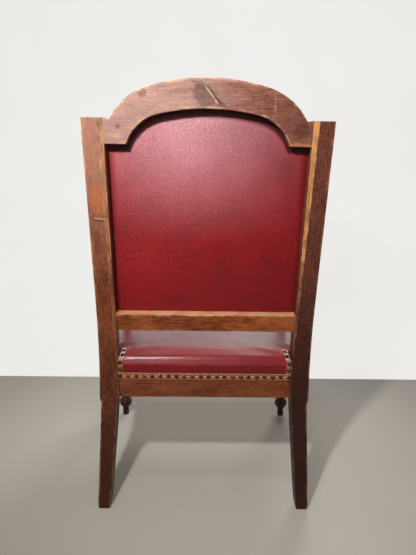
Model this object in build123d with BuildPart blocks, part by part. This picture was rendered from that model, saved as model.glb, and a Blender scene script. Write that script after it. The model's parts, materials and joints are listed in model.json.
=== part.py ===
from build123d import *
import os
from math import acos, cos, hypot, radians, sin, sqrt, tan

# High-backed open armchair in oak, with a stuffed seat and back in leather.
# The origin is on the floor under the middle of the chair. The sitter faces -Y and the left hand is at +X.
# All lengths are in millimetres and all angles in degrees.

os.makedirs("parts", exist_ok=True)

# Overall sizes
height = 1198.0
depth = 676.0
back_width = 630.0
rake = 9.5

# Clearance between a tenon and its mortise, between cloth and wood, and how far a cut runs past a face
joint_gap = 0.2
cloth_gap = 0.5
overrun = 5.0

# Stile and rear leg, cut from one plank
stile_width = 53.0
stile_depth = 42.0
crest_rise = 94.0
rake_start_rise = 38.0
rake_blend = 190.0
block_width = 58.0
block_depth = 48.0
block_taper_rise = 58.0
block_taper_length = 65.0
front_bend_rise = 48.0
leg_sweep = 14.0
leg_bend = 230.0
leg_shoulder = 4.0
leg_shoulder_drop = 10.0
leg_belly = 7.0
foot_width = 36.0
foot_depth = 34.0
foot_round = 3.0

# Chamfer on the inner rear edge of each stile, wide at the top and dying out below the lower rail
chamfer_width = 13.0
chamfer_depth = 6.0
chamfer_run = 22.5
chamfer_middle_share = 0.55
chamfer_end_share = 0.3

# Back frame: the rear faces of both rails lie a little in front of the stiles
crest_setback = 6.0
rail_depth = 36.0
crest_shoulder = 60.0
outer_arch_half = 245.5
outer_crown_radius = 540.0
outer_crown_turn = 16.0
inner_arch_half = 207.8
inner_arch_rise = 86.5
inner_crown_radius = 560.0
inner_crown_turn = 13.0
lower_rail_foot = 527.5
lower_rail_height = 51.0
back_tenon_length = 30.0
back_tenon_thickness = 12.0
crest_tenon_margin = 12.0
lower_tenon_margin = 8.0

# Rebate for the outside leather, in the front edge of the opening
rebate_width = 10.0
rebate_floor = 28.0
panel_thickness = 1.6

# Seat frame
seat_length = 483.0
rail_top = 392.0
rail_height = 76.0
rail_thickness = 26.0
rail_inset = 8.0
side_rail_inset = 6.0
seat_tenon_length = 24.0
seat_tenon_thickness = 10.0
seat_tenon_margin = 10.0
corner_reach = 70.0
corner_height = 44.0
corner_lift = 20.0

# Front posts: a turned foot, a square block for the rails, and a turned arm support
front_spread = 664.0
post_block = 56.0
block_margin = 12.0
block_edge = 3.0
toe_height = 14.0
toe_width = 26.0
neck_width = 25.0
ball_width = 51.0
ball_centre = 57.0
ball_neck_width = 27.0
post_tenon_radius = 11.0
post_tenon_length = 16.0
support_top_radius = 20.0

# Turned profiles: height share, radius share, and how far the line bows out on its way to that point
leg_turning_shares = [
    (0.0, 0.54, 0.0),
    (0.62, 0.98, 0.0),
    (0.73, 0.76, 0.09),
    (0.76, 0.94, 0.0),
    (0.82, 0.94, 0.0),
    (0.85, 0.78, 0.0),
    (0.95, 0.74, 0.0),
    (0.97, 0.92, 0.0),
    (1.0, 0.92, 0.0),
]
support_turning_shares = [
    (0.0, 0.92, 0.0),
    (0.05, 0.92, 0.0),
    (0.07, 0.7, 0.0),
    (0.16, 0.64, 0.0),
    (0.18, 0.84, 0.0),
    (0.22, 0.84, 0.0),
    (0.24, 0.66, 0.0),
    (0.46, 0.94, 0.09),
    (0.86, 0.54, -0.07),
    (0.95, 0.77, 0.0),
]

# Arms
arm_height = 662.0
arm_thickness = 32.0
arm_seat_depth = 5.0
arm_rear_rise = 18.0
arm_rear_thickness = 36.0
arm_sag = 13.0
arm_rear_width = 27.5
arm_rear_inset = 2.0
arm_middle_width = 44.0
arm_middle_bow = 24.5
arm_front_width = 62.0
arm_front_length = 108.0
arm_nose_radius = 10.0
scroll_radius = 28.0
scroll_lift = 4.0
arm_tenon_length = 18.0
arm_tenon_thickness = 12.0
arm_tenon_height = 22.0

# Webbing and hessian
strap_width = 50.0
strap_thickness = 1.5
hessian_thickness = 1.0
back_upright_count = 4
back_level_count = 4
seat_long_count = 6
seat_cross_count = 5
tack_margin = 6.5
seat_tack_margin = 6.0

# Leather covers and their stuffing
leather = 2.0
back_flange = 22.0
back_dome_start = 8.5
back_crown = 51.0
back_draw_in = 94.0
back_crown_shares = [(0, 0), (0.4, 0.01), (0.66, 0.13), (0.84, 0.33), (0.95, 0.62), (1, 1)]
seat_skirt_drop = 20.0
seat_wall = 33.0
seat_crown = 31.0
seat_draw_in = 112.0
seat_crown_shares = [(0, 0), (0.42, 0.035), (0.68, 0.107), (0.84, 0.232), (0.94, 0.46), (1, 1)]

# Trim bands and dome nails
band_width = 19.0
band_thickness = 1.5
seat_band_end_width = 15.0
nail_radius = 6.5
nail_height = 3.6
nail_sides = 6
nail_taper = 38.0
nail_pitch = 24.0

# Places that follow from the sizes above
tilt = radians(rake)
stile_top = height - crest_rise
crest_foot = stile_top - crest_shoulder
rail_foot = rail_top - rail_height
rake_start = rail_top + rake_start_rise
rake_full = rake_start + rake_blend
front_bend = rail_top + front_bend_rise
block_taper_low = rail_top + block_taper_rise
block_taper_high = block_taper_low + block_taper_length
lower_rail_top = lower_rail_foot + lower_rail_height
chamfer_end = lower_rail_foot - chamfer_run
corner_foot = rail_foot + corner_lift
block_foot = rail_foot - block_margin
block_top = rail_top + block_margin
seat_skirt_foot = rail_top - seat_skirt_drop
seat_wall_top = rail_top + seat_wall
stile_outer = back_width / 2
stile_inner = stile_outer - stile_width
block_inner = stile_outer - block_width
leg_outer = stile_outer - leg_shoulder
leg_inner = block_inner + leg_shoulder
back_foot = depth / 2 - height * tan(tilt)
back_plane = Plane(origin=(0, back_foot, 0), x_dir=(1, 0, 0), z_dir=(0, -cos(tilt), sin(tilt)))


def up_slope(z):
    """Distance up the raked back that reaches the height z on the rear faces of its rails."""
    return z / cos(tilt)


def back_point(z, forward):
    """Side-view point at a distance in front of the rails' rear faces, square to the back at height z."""
    rise = up_slope(z)
    return (
        back_foot + rise * sin(tilt) - forward * cos(tilt),
        rise * cos(tilt) + forward * sin(tilt),
    )


def back_line(z, forward):
    """Place in depth of a raked face at the height z."""
    return back_foot - forward / cos(tilt) + z * tan(tilt)


stile_front = stile_depth - crest_setback
outer_arch_rise = up_slope(height - stile_top)
block_rear = back_line(rake_full, -crest_setback) - (rake_full - rake_start) * tan(tilt / 2)
block_front = block_rear - block_depth
sweep = radians(leg_sweep)
leg_bend_rear = block_rear + (rake_start - leg_bend) * tan(sweep / 2)
heel = leg_bend_rear + leg_bend * tan(sweep)
front_unbend = (block_front - front_bend * tan(tilt / 2) - back_line(0, stile_front)) / (
    tan(tilt) - tan(tilt / 2)
)
post_x = front_spread / 2
post_y = block_rear - seat_length
post_front = post_y - post_block / 2
post_rear = post_y + post_block / 2
post_inner = post_x - post_block / 2
rear_rail_rear = block_rear - rail_inset
rear_rail_front = rear_rail_rear - rail_thickness
front_rail_front = post_front + rail_inset
front_rail_rear = front_rail_front + rail_thickness
side_rear_x = stile_outer - side_rail_inset
side_front_x = post_x + post_block / 2 - rail_inset
side_slope = (side_rear_x - side_front_x) / (block_front - post_rear)
side_stretch = sqrt(1 + side_slope**2)
arm_seat = arm_height - arm_thickness + arm_seat_depth


def side_x(y, inward=0.0):
    """How far out the side rail's face is at the depth y, or a plane that distance inside it."""
    return side_rear_x + side_slope * (y - block_front) - inward * side_stretch


def arch_points(half_width, rise, crown_radius, crown_turn, foot, grow=0.0):
    """Seven points on a three-centred arch, grown outwards from its centres and cut level at its foot."""
    turn = radians(crown_turn)
    across = half_width - crown_radius * sin(turn)
    up = rise - crown_radius * (1 - cos(turn))
    haunch_radius = (across**2 + up**2) / (2 * (up * cos(turn) - across * sin(turn)))
    centre_x = (crown_radius - haunch_radius) * sin(turn)
    centre_y = foot + rise - crown_radius + (crown_radius - haunch_radius) * cos(turn)
    reach = haunch_radius + grow
    end_turn = acos((foot + grow - centre_y) / reach)
    right = [
        (centre_x + reach * sin(angle), centre_y + reach * cos(angle))
        for angle in (end_turn, (end_turn + turn) / 2, turn)
    ]
    left = [(-x, y) for x, y in reversed(right)]
    return right + [(0, foot + rise + grow)] + left


def draw_arch(points):
    """Draw the haunch, crown and haunch through the seven points of an arch."""
    for first in (0, 2, 4):
        ThreePointArc(*points[first : first + 3])


def opening_outline(grow, draw_in=0.0):
    """Draw the opening inside the back frame, grown outwards all round, then drawn in towards its middle."""
    low = up_slope(lower_rail_top) - grow
    side = stile_inner + grow
    base = up_slope(crest_foot)
    arch = arch_points(inner_arch_half, inner_arch_rise, inner_crown_radius, inner_crown_turn, base, grow)
    corners = [(-side, base + grow), (-side, low), (side, low), (side, base + grow)]
    middle = (low + arch[3][1]) / 2
    narrow = 1 - draw_in / side
    shorten = 1 - draw_in / (middle - low)
    arch, corners = [
        [(x * narrow, middle + (y - middle) * shorten) for x, y in points] for points in (arch, corners)
    ]
    draw_arch(arch)
    Polyline(arch[-1], *corners, arch[0])


def opening_slab(near, thickness, grow, mode=Mode.ADD):
    """A flat piece in the shape of the back's opening, from a distance in front of the rails' rear faces."""
    with BuildSketch(back_plane.offset(near)) as face:
        with BuildLine():
            opening_outline(grow)
        make_face()
    extrude(face.sketch, amount=thickness, mode=mode)


def crowned_back(base, rise, grow):
    """The stuffed inside back: the opening's outline, drawn in as it rises to its crown."""
    sections = []
    for height_share, inset_share in back_crown_shares:
        with BuildSketch(back_plane.offset(base + rise * height_share)) as level:
            with BuildLine():
                opening_outline(grow, back_draw_in * inset_share)
            make_face()
        sections.append(level.sketch.faces()[0])
    loft(sections, ruled=True)


def seat_outline(grow):
    """Draw the seat frame's four outer faces, grown outwards."""
    rear = rear_rail_rear + grow
    front = front_rail_front - grow
    corners = [(side_x(y, -grow), y) for y in (front, rear)]
    Polyline(*corners, *[(-x, y) for x, y in reversed(corners)], close=True)


def seat_slab(low, high, grow, mode=Mode.ADD):
    """A level slab in the seat frame's outline."""
    with BuildSketch(Plane.XY.offset(low)) as face:
        with BuildLine():
            seat_outline(grow)
        make_face()
    extrude(face.sketch, amount=high - low, mode=mode)


def crowned_seat(foot, wall_top, rise, grow):
    """The stuffed seat: upright walls, then sections drawn in towards the crown."""
    sections = []
    levels = [(foot, 0)] + [(wall_top + rise * h, seat_draw_in * inset) for h, inset in seat_crown_shares]
    for z, inset in levels:
        with BuildSketch(Plane.XY.offset(z)) as level:
            with BuildLine():
                seat_outline(grow - inset)
            make_face()
        sections.append(level.sketch.faces()[0])
    loft(sections, ruled=True)


def block_between(low, high, mode=Mode.ADD):
    """An upright box between two opposite corners."""
    size = [b - a for a, b in zip(low, high)]
    middle = tuple((a + b) / 2 for a, b in zip(low, high))
    with Locations(middle):
        Box(*size, mode=mode)


def leg_notches(clear, foot, top):
    """Cut the seat away round the two stiles and the two front posts."""
    for side in (1, -1):
        rear_x = sorted((side * (block_inner - clear), side * (front_spread / 2 + post_block)))
        front_x = sorted((side * (post_inner - clear), side * (front_spread / 2 + post_block)))
        block_between((rear_x[0], block_front - clear, foot), (rear_x[1], block_rear + clear, top), Mode.SUBTRACT)
        block_between((front_x[0], post_front - clear, foot), (front_x[1], post_rear + clear, top), Mode.SUBTRACT)


def slab_on_back(low, high, near, far, mode=Mode.ADD, grow=0.0):
    """A block square to the raked back, between two corners on it and two distances in front of it."""
    with BuildSketch(back_plane.offset(near - grow)) as face:
        with Locations(((low[0] + high[0]) / 2, (low[1] + high[1]) / 2)):
            Rectangle(high[0] - low[0] + 2 * grow, high[1] - low[1] + 2 * grow)
    extrude(face.sketch, amount=far - near + 2 * grow, mode=mode)


def back_tenon(foot, top, margin, side, mode=Mode.ADD, grow=0.0):
    """The tenon at one end of a back rail, or the mortise for it."""
    near = (rail_depth - back_tenon_thickness) / 2
    ends = sorted((side * (stile_inner - rebate_width), side * (stile_inner + back_tenon_length)))
    low = (ends[0], up_slope(foot) + margin)
    high = (ends[1], up_slope(top) - margin)
    slab_on_back(low, high, near, near + back_tenon_thickness, mode, grow)


def rear_rail_tenon(side, mode=Mode.ADD, grow=0.0):
    """The tenon at one end of the rear seat rail, or the mortise for it."""
    middle = (rear_rail_rear + rear_rail_front) / 2
    ends = sorted((side * (block_inner - overrun), side * (block_inner + seat_tenon_length + grow)))
    low = (ends[0], middle - seat_tenon_thickness / 2 - grow, rail_foot + seat_tenon_margin - grow)
    high = (ends[1], middle + seat_tenon_thickness / 2 + grow, rail_top - seat_tenon_margin + grow)
    block_between(low, high, mode)


def front_rail_tenon(side, mode=Mode.ADD, grow=0.0):
    """The tenon at one end of the front seat rail, or the mortise for it."""
    middle = (front_rail_rear + front_rail_front) / 2
    ends = sorted((side * (post_inner - overrun), side * (post_inner + seat_tenon_length + grow)))
    low = (ends[0], middle - seat_tenon_thickness / 2 - grow, rail_foot + seat_tenon_margin - grow)
    high = (ends[1], middle + seat_tenon_thickness / 2 + grow, rail_top - seat_tenon_margin + grow)
    block_between(low, high, mode)


def side_rail_tenons(mode=Mode.ADD, grow=0.0):
    """The tenons at both ends of the left side rail, in one run along it, or the mortises for them."""
    outer = (rail_thickness - seat_tenon_thickness) / 2 - grow
    inner = (rail_thickness + seat_tenon_thickness) / 2 + grow
    rear = block_front + seat_tenon_length + grow
    front = post_rear - seat_tenon_length - grow
    with BuildSketch(Plane.XY.offset(rail_foot + seat_tenon_margin - grow)) as face:
        with BuildLine():
            Polyline(
                (side_x(rear, outer), rear),
                (side_x(front, outer), front),
                (side_x(front, inner), front),
                (side_x(rear, inner), rear),
                close=True,
            )
        make_face()
    extrude(face.sketch, amount=rail_top - rail_foot - 2 * seat_tenon_margin + 2 * grow, mode=mode)


def arm_tenon(mode=Mode.ADD, grow=0.0):
    """The stub tenon at the left arm's rear end, or the mortise for it in the stile's front face."""
    middle_x = stile_outer - arm_rear_inset - arm_rear_width / 2
    middle_y = up_slope(arm_height + arm_rear_rise - arm_rear_thickness / 2)
    low = (middle_x - arm_tenon_thickness / 2, middle_y - arm_tenon_height / 2)
    high = (middle_x + arm_tenon_thickness / 2, middle_y + arm_tenon_height / 2)
    slab_on_back(low, high, stile_front - arm_tenon_length, stile_front + overrun, mode, grow)


def keep(piece, label):
    """Label a finished piece and write it out."""
    piece.part.label = label
    export_step(piece.part, f"parts/{label}.step")


def keep_pair(piece, label):
    """Write the left piece, and its mirror image as the right one."""
    keep(piece, f"left_{label}")
    with BuildPart() as other:
        mirror(piece.part, about=Plane.YZ)
    keep(other, f"right_{label}")


# Stiles with their rear legs
def chamfer_section(z, share):
    """Section of the chamfer's waste at one height, square to the stile's rear face in plan."""
    if z >= rake_full:
        rear = back_line(z, -crest_setback)
    else:
        radius = (rake_full - rake_start) / sin(tilt)
        rear = block_rear + radius - sqrt(radius**2 - (z - rake_start) ** 2)
    with BuildSketch(Plane.XY.offset(z)) as waste:
        with BuildLine():
            Polyline(
                (stile_inner - overrun, rear + overrun),
                (stile_inner + chamfer_width * share, rear + overrun),
                (stile_inner + chamfer_width * share, rear),
                (stile_inner, rear - chamfer_depth * share),
                (stile_inner - overrun, rear - chamfer_depth * share),
                close=True,
            )
        make_face()
    return waste.sketch.faces()[0]


with BuildPart() as stile:
    rear_top = back_point(stile_top, -crest_setback)
    front_top = back_point(stile_top, stile_front)
    shoulder_front = (block_front + leg_shoulder, rail_foot - leg_shoulder_drop)
    foot_front = (heel - foot_depth, 0)
    belly = ((shoulder_front[0] + foot_front[0]) / 2 - leg_belly, shoulder_front[1] / 2)
    with BuildSketch(Plane.YZ):
        with BuildLine():
            Line((heel, 0), (leg_bend_rear, leg_bend))
            TangentArc((leg_bend_rear, leg_bend), (block_rear, rake_start), tangent=(-sin(sweep), cos(sweep)))
            TangentArc(
                (block_rear, rake_start),
                (back_line(rake_full, -crest_setback), rake_full),
                tangent=(0, 1),
            )
            Polyline(
                (back_line(rake_full, -crest_setback), rake_full),
                rear_top,
                front_top,
                (back_line(front_unbend, stile_front), front_unbend),
            )
            TangentArc(
                (back_line(front_unbend, stile_front), front_unbend),
                (block_front, front_bend),
                tangent=(-sin(tilt), -cos(tilt)),
            )
            Polyline((block_front, front_bend), (block_front, rail_foot), shoulder_front)
            ThreePointArc(shoulder_front, belly, foot_front)
            Line(foot_front, (heel, 0))
        make_face()
    extrude(amount=stile_outer + overrun)
    with BuildSketch(Plane.XZ):
        with BuildLine():
            Polyline(
                (leg_outer, 0),
                (leg_outer, rail_foot - leg_shoulder_drop),
                (stile_outer, rail_foot),
                (stile_outer, height),
                (stile_inner, height),
                (stile_inner, block_taper_high),
                (block_inner, block_taper_low),
                (block_inner, rail_foot),
                (leg_inner, rail_foot - leg_shoulder_drop),
                (leg_outer - foot_width, 0),
                close=True,
            )
        make_face()
    extrude(amount=depth, both=True, mode=Mode.INTERSECT)
    chamfer(stile.faces().sort_by(Axis.Z)[0].edges(), foot_round)
    waste = [
        chamfer_section(height, 1),
        chamfer_section(rake_full, chamfer_middle_share),
        chamfer_section(chamfer_end, chamfer_end_share),
    ]
    loft(waste, ruled=True, mode=Mode.SUBTRACT)
    opening_slab(rebate_floor, stile_depth, rebate_width, Mode.SUBTRACT)
    back_tenon(crest_foot, stile_top, crest_tenon_margin, 1, Mode.SUBTRACT, joint_gap)
    back_tenon(lower_rail_foot, lower_rail_top, lower_tenon_margin, 1, Mode.SUBTRACT, joint_gap)
    rear_rail_tenon(1, Mode.SUBTRACT, joint_gap)
    side_rail_tenons(Mode.SUBTRACT, joint_gap)
    arm_tenon(Mode.SUBTRACT, joint_gap)
keep_pair(stile, "stile")

# Crest rail: an arch between two level shoulders, over an arch cut into its lower edge
with BuildPart() as crest_rail:
    with BuildSketch(back_plane):
        with BuildLine():
            top = up_slope(stile_top)
            foot = up_slope(crest_foot)
            outer_arch = arch_points(outer_arch_half, outer_arch_rise, outer_crown_radius, outer_crown_turn, top)
            inner_arch = arch_points(inner_arch_half, inner_arch_rise, inner_crown_radius, inner_crown_turn, foot)
            draw_arch(outer_arch)
            Polyline(outer_arch[-1], (-stile_inner, top), (-stile_inner, foot), inner_arch[-1])
            draw_arch(inner_arch)
            Polyline(inner_arch[0], (stile_inner, foot), (stile_inner, top), outer_arch[0])
        make_face()
    extrude(amount=rail_depth)
    for side in (1, -1):
        back_tenon(crest_foot, stile_top, crest_tenon_margin, side)
    opening_slab(rebate_floor, stile_depth, rebate_width, Mode.SUBTRACT)
keep(crest_rail, "crest_rail")

# Lower back rail
with BuildPart() as lower_rail:
    slab_on_back(
        (-stile_inner, up_slope(lower_rail_foot)), (stile_inner, up_slope(lower_rail_top)), 0, rail_depth
    )
    for side in (1, -1):
        back_tenon(lower_rail_foot, lower_rail_top, lower_tenon_margin, side)
    opening_slab(rebate_floor, stile_depth, rebate_width, Mode.SUBTRACT)
keep(lower_rail, "lower_back_rail")

# Rear seat rail
with BuildPart() as rear_rail:
    block_between((-block_inner, rear_rail_front, rail_foot), (block_inner, rear_rail_rear, rail_top))
    for side in (1, -1):
        rear_rail_tenon(side)
keep(rear_rail, "rear_seat_rail")

# Front seat rail
with BuildPart() as front_rail:
    block_between((-post_inner, front_rail_front, rail_foot), (post_inner, front_rail_rear, rail_top))
    for side in (1, -1):
        front_rail_tenon(side)
keep(front_rail, "front_seat_rail")

# Side seat rails, spread wider at the front
with BuildPart() as side_rail:
    with BuildSketch(Plane.XY.offset(rail_foot)):
        with BuildLine():
            Polyline(
                (side_x(block_front), block_front),
                (side_x(post_rear), post_rear),
                (side_x(post_rear, rail_thickness), post_rear),
                (side_x(block_front, rail_thickness), block_front),
                close=True,
            )
        make_face()
    extrude(amount=rail_top - rail_foot)
    side_rail_tenons()
keep_pair(side_rail, "seat_rail")


def turning(base, length, radius, shares):
    """Draw one side of a turning from shares of its length and of its largest radius."""
    points = [(radius * reach, base + length * rise) for rise, reach, bow in shares]
    for start, end, (rise, reach, bow) in zip(points, points[1:], shares[1:]):
        if bow:
            ThreePointArc(start, ((start[0] + end[0]) / 2 + radius * bow, (start[1] + end[1]) / 2), end)
        else:
            Line(start, end)
    return points


# Front posts
post_plane = Plane(origin=(post_x, post_y, 0), x_dir=(1, 0, 0), z_dir=(0, -1, 0))
post_axis = Axis((post_x, post_y, 0), (0, 0, 1))
ball_radius = ball_width / 2
ball_top = ball_centre + sqrt(ball_radius**2 - (ball_neck_width / 2) ** 2)
ball_foot = ball_centre - sqrt(ball_radius**2 - (neck_width / 2) ** 2)
with BuildPart() as front_post:
    with BuildSketch(post_plane):
        with BuildLine():
            toe = toe_width / 2
            Polyline((0, 0), (toe, 0), (toe, toe_height), (neck_width / 2, toe_height), (neck_width / 2, ball_foot))
            ThreePointArc((neck_width / 2, ball_foot), (ball_radius, ball_centre), (ball_neck_width / 2, ball_top))
            side_points = turning(ball_top, block_foot - ball_top, ball_radius, leg_turning_shares)
            Line((ball_neck_width / 2, ball_top), side_points[0])
            Polyline(side_points[-1], (0, block_foot), (0, 0))
        make_face()
    revolve(axis=post_axis)
    with BuildSketch(Plane(origin=(post_x, post_y, block_foot))):
        Rectangle(post_block, post_block)
    extrude(amount=block_top - block_foot)
    chamfer(front_post.edges().filter_by(Axis.Z), block_edge)
    with BuildSketch(post_plane):
        with BuildLine():
            side_points = turning(block_top, arm_seat - block_top, ball_radius, support_turning_shares)
            Polyline(
                side_points[-1],
                (support_top_radius, side_points[-1][1]),
                (support_top_radius, arm_seat),
                (post_tenon_radius, arm_seat),
                (post_tenon_radius, arm_seat + post_tenon_length),
                (0, arm_seat + post_tenon_length),
                (0, block_top),
                side_points[0],
            )
        make_face()
    revolve(axis=post_axis)
    front_rail_tenon(1, Mode.SUBTRACT, joint_gap)
    side_rail_tenons(Mode.SUBTRACT, joint_gap)
keep_pair(front_post, "front_post")

# Arms: the side view and the plan are both cut through one block
arm_outer = post_x + arm_front_width / 2
arm_inner = post_x - arm_front_width / 2
arm_tip = -depth / 2
scroll_y = arm_tip + scroll_radius
scroll_z = arm_height + scroll_lift - scroll_radius
with BuildPart() as arm:
    rear_high = arm_height + arm_rear_rise
    rear_low = rear_high - arm_rear_thickness
    middle_y = (back_line(rear_high, stile_front) + scroll_y) / 2
    top_start = (back_line(rear_high, stile_front), rear_high)
    foot_start = (back_line(rear_low, stile_front), rear_low)
    top_end = (scroll_y, scroll_z + scroll_radius)
    foot_end = (scroll_y, top_end[1] - arm_thickness)
    with BuildSketch(Plane.YZ):
        with BuildLine():
            Line(foot_start, top_start)
            ThreePointArc(top_start, (middle_y, (top_start[1] + top_end[1]) / 2 - arm_sag), top_end)
            Line(top_end, foot_end)
            ThreePointArc(foot_end, (middle_y, (foot_start[1] + foot_end[1]) / 2 - arm_sag), foot_start)
        make_face()
        with Locations((scroll_y, scroll_z)):
            Circle(scroll_radius)
    extrude(amount=arm_outer + overrun)
    with BuildSketch(Plane.XY.offset(scroll_z - scroll_radius - overrun)):
        with BuildLine():
            rear_y = top_start[0] + overrun
            rear_outer = stile_outer - arm_rear_inset
            rear_inner = rear_outer - arm_rear_width
            middle_inner = rear_inner + arm_middle_bow
            front_y = arm_tip + arm_front_length
            ThreePointArc((rear_outer, rear_y), (middle_inner + arm_middle_width, middle_y), (arm_outer, front_y))
            FilletPolyline(
                (arm_outer, front_y),
                (arm_outer, arm_tip),
                (arm_inner, arm_tip),
                (arm_inner, front_y),
                radius=arm_nose_radius,
            )
            ThreePointArc((arm_inner, front_y), (middle_inner, middle_y), (rear_inner, rear_y))
            Line((rear_inner, rear_y), (rear_outer, rear_y))
        make_face()
    extrude(amount=height, mode=Mode.INTERSECT)
    arm_tenon()
    with BuildSketch(Plane(origin=(post_x, post_y, scroll_z - scroll_radius))):
        Circle(support_top_radius + joint_gap)
    extrude(amount=arm_seat - (scroll_z - scroll_radius), mode=Mode.SUBTRACT)
    with BuildSketch(Plane(origin=(post_x, post_y, arm_seat))):
        Circle(post_tenon_radius + joint_gap)
    extrude(amount=post_tenon_length + joint_gap, mode=Mode.SUBTRACT)
keep_pair(arm, "arm")


# Corner blocks, glued inside the seat frame
def corner_block(rail_face, corner_x, leg_face, toward):
    """One left corner block: rail's inner face, the leg's inner corner, and which way the rail lies."""
    far_y = leg_face - toward * corner_reach
    with BuildSketch(Plane.XY.offset(corner_foot)) as face:
        with BuildLine():
            Polyline(
                (corner_x - corner_reach, rail_face),
                (corner_x - joint_gap, rail_face),
                (corner_x - joint_gap, leg_face - toward * joint_gap),
                (side_x(leg_face - toward * joint_gap, rail_thickness), leg_face - toward * joint_gap),
                (side_x(far_y, rail_thickness), far_y),
                close=True,
            )
        make_face()
    extrude(face.sketch, amount=corner_height)


with BuildPart() as rear_corner:
    corner_block(rear_rail_front, block_inner, block_front, 1)
keep_pair(rear_corner, "rear_corner_block")

with BuildPart() as front_corner:
    corner_block(front_rail_rear, post_inner, post_rear, -1)
keep_pair(front_corner, "front_corner_block")

# Outside back leather, stretched over the floor of the rebate
with BuildPart() as outside_back:
    opening_slab(rebate_floor, panel_thickness, rebate_width - cloth_gap)
keep(outside_back, "outside_back_leather")


def spread(count, low, high):
    """Evenly spaced centres for a number of straps between two edges."""
    step = (high - low) / count
    return [low + step * (index + 0.5) for index in range(count)]


# Back webbing: upright straps on the frame, then level straps over them
with BuildPart() as back_webbing:
    foot = up_slope(lower_rail_top) - tack_margin
    head = up_slope(crest_foot) + inner_arch_rise + tack_margin
    side = stile_inner + tack_margin
    for middle in spread(back_upright_count, -side, side):
        slab_on_back(
            (middle - strap_width / 2, foot),
            (middle + strap_width / 2, head + tack_margin),
            rail_depth,
            rail_depth + strap_thickness,
        )
    for middle in spread(back_level_count, foot, up_slope(crest_foot)):
        slab_on_back(
            (-side, middle - strap_width / 2),
            (side, middle + strap_width / 2),
            rail_depth + strap_thickness,
            rail_depth + 2 * strap_thickness,
        )
    opening_slab(rail_depth, 2 * strap_thickness, tack_margin, Mode.INTERSECT)
keep(back_webbing, "back_webbing")

back_layers = 2 * strap_thickness + hessian_thickness
with BuildPart() as back_hessian:
    opening_slab(rail_depth + 2 * strap_thickness, hessian_thickness, tack_margin)
keep(back_hessian, "back_hessian")

# Inside back: stuffing, and the leather over it with a flat flange that is nailed to the frame
with BuildPart() as back_stuffing:
    crowned_back(rail_depth + back_layers, back_crown - back_layers, back_dome_start - leather)
keep(back_stuffing, "back_stuffing")

with BuildPart() as inside_back:
    opening_slab(rail_depth, leather, back_flange)
    crowned_back(rail_depth + leather, back_crown, back_dome_start)
    opening_slab(rail_depth, back_layers, tack_margin + cloth_gap, Mode.SUBTRACT)
    add(back_stuffing.part, mode=Mode.SUBTRACT)
keep(inside_back, "inside_back_leather")

# Back trim band, over the leather's flange
with BuildPart() as back_trim:
    opening_slab(rail_depth + leather, band_thickness, back_flange)
    opening_slab(rail_depth + leather, band_thickness, back_dome_start + cloth_gap, Mode.SUBTRACT)
keep(back_trim, "back_trim")

# Seat webbing: straps from front to back, then straps across them
with BuildPart() as seat_webbing:
    front = front_rail_front + seat_tack_margin
    rear = rear_rail_rear - seat_tack_margin
    for middle in spread(seat_long_count, -block_inner, block_inner):
        block_between(
            (middle - strap_width / 2, front, rail_top),
            (middle + strap_width / 2, rear, rail_top + strap_thickness),
        )
    for middle in spread(seat_cross_count, post_rear, block_front):
        with BuildSketch(Plane.XY.offset(rail_top + strap_thickness)):
            with BuildLine():
                ends = [
                    (side_x(y, seat_tack_margin), y)
                    for y in (middle - strap_width / 2, middle + strap_width / 2)
                ]
                Polyline(*ends, *[(-x, y) for x, y in reversed(ends)], close=True)
            make_face()
        extrude(amount=strap_thickness)
keep(seat_webbing, "seat_webbing")

seat_layers = 2 * strap_thickness + hessian_thickness
with BuildPart() as seat_hessian:
    seat_slab(rail_top + 2 * strap_thickness, rail_top + seat_layers, -seat_tack_margin)
    leg_notches(leather + cloth_gap, rail_top, rail_top + 2 * seat_layers)
keep(seat_hessian, "seat_hessian")

# Seat: stuffing, and the leather drawn over it and down over the rails
with BuildPart() as seat_stuffing:
    crowned_seat(rail_top + seat_layers, seat_wall_top - leather, seat_crown, 0)
    leg_notches(leather + cloth_gap, rail_top, stile_top)
keep(seat_stuffing, "seat_stuffing")

with BuildPart() as seat_cover:
    crowned_seat(seat_skirt_foot, seat_wall_top, seat_crown, leather)
    seat_slab(seat_skirt_foot, rail_top + seat_layers, 0, Mode.SUBTRACT)
    leg_notches(cloth_gap, seat_skirt_foot, stile_top)
    add(seat_stuffing.part, mode=Mode.SUBTRACT)
keep(seat_cover, "seat_leather")


# Seat trim bands, one to each side of the seat, with ends that turn up beside the legs
def band_plane(start, end):
    """Plane on the leather's outer face between two plan points, with its X along the band."""
    length = hypot(end[0] - start[0], end[1] - start[1])
    along = ((end[0] - start[0]) / length, (end[1] - start[1]) / length, 0)
    outward = (along[1], -along[0], 0)
    return Plane(origin=(start[0], start[1], 0), x_dir=along, z_dir=outward), length


def seat_band(start, end):
    """A band along the foot of the leather, turned up at both ends to the top of its wall."""
    plane, length = band_plane(start, end)
    with BuildSketch(plane) as face:
        with BuildLine():
            foot = seat_skirt_foot
            top = foot + band_width
            Polyline(
                (0, foot),
                (length, foot),
                (length, seat_wall_top),
                (length - seat_band_end_width, seat_wall_top),
                (length - seat_band_end_width, top),
                (seat_band_end_width, top),
                (seat_band_end_width, seat_wall_top),
                (0, seat_wall_top),
                close=True,
            )
        make_face()
    extrude(face.sketch, amount=band_thickness)


def band_nails(start, end):
    """Places of a band's nails: a row along its foot and a column up each end."""
    plane, length = band_plane(start, end)
    edge = seat_band_end_width / 2
    row = seat_skirt_foot + band_width / 2
    count = round((length - 2 * edge) / nail_pitch)
    pitch = (length - 2 * edge) / count
    places = [(edge + pitch * index, row) for index in range(count + 1)]
    rise = (seat_wall_top - nail_radius - row) / 2
    places += [(x, row + rise * step) for x in (edge, length - edge) for step in (1, 2)]
    return plane, places


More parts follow.
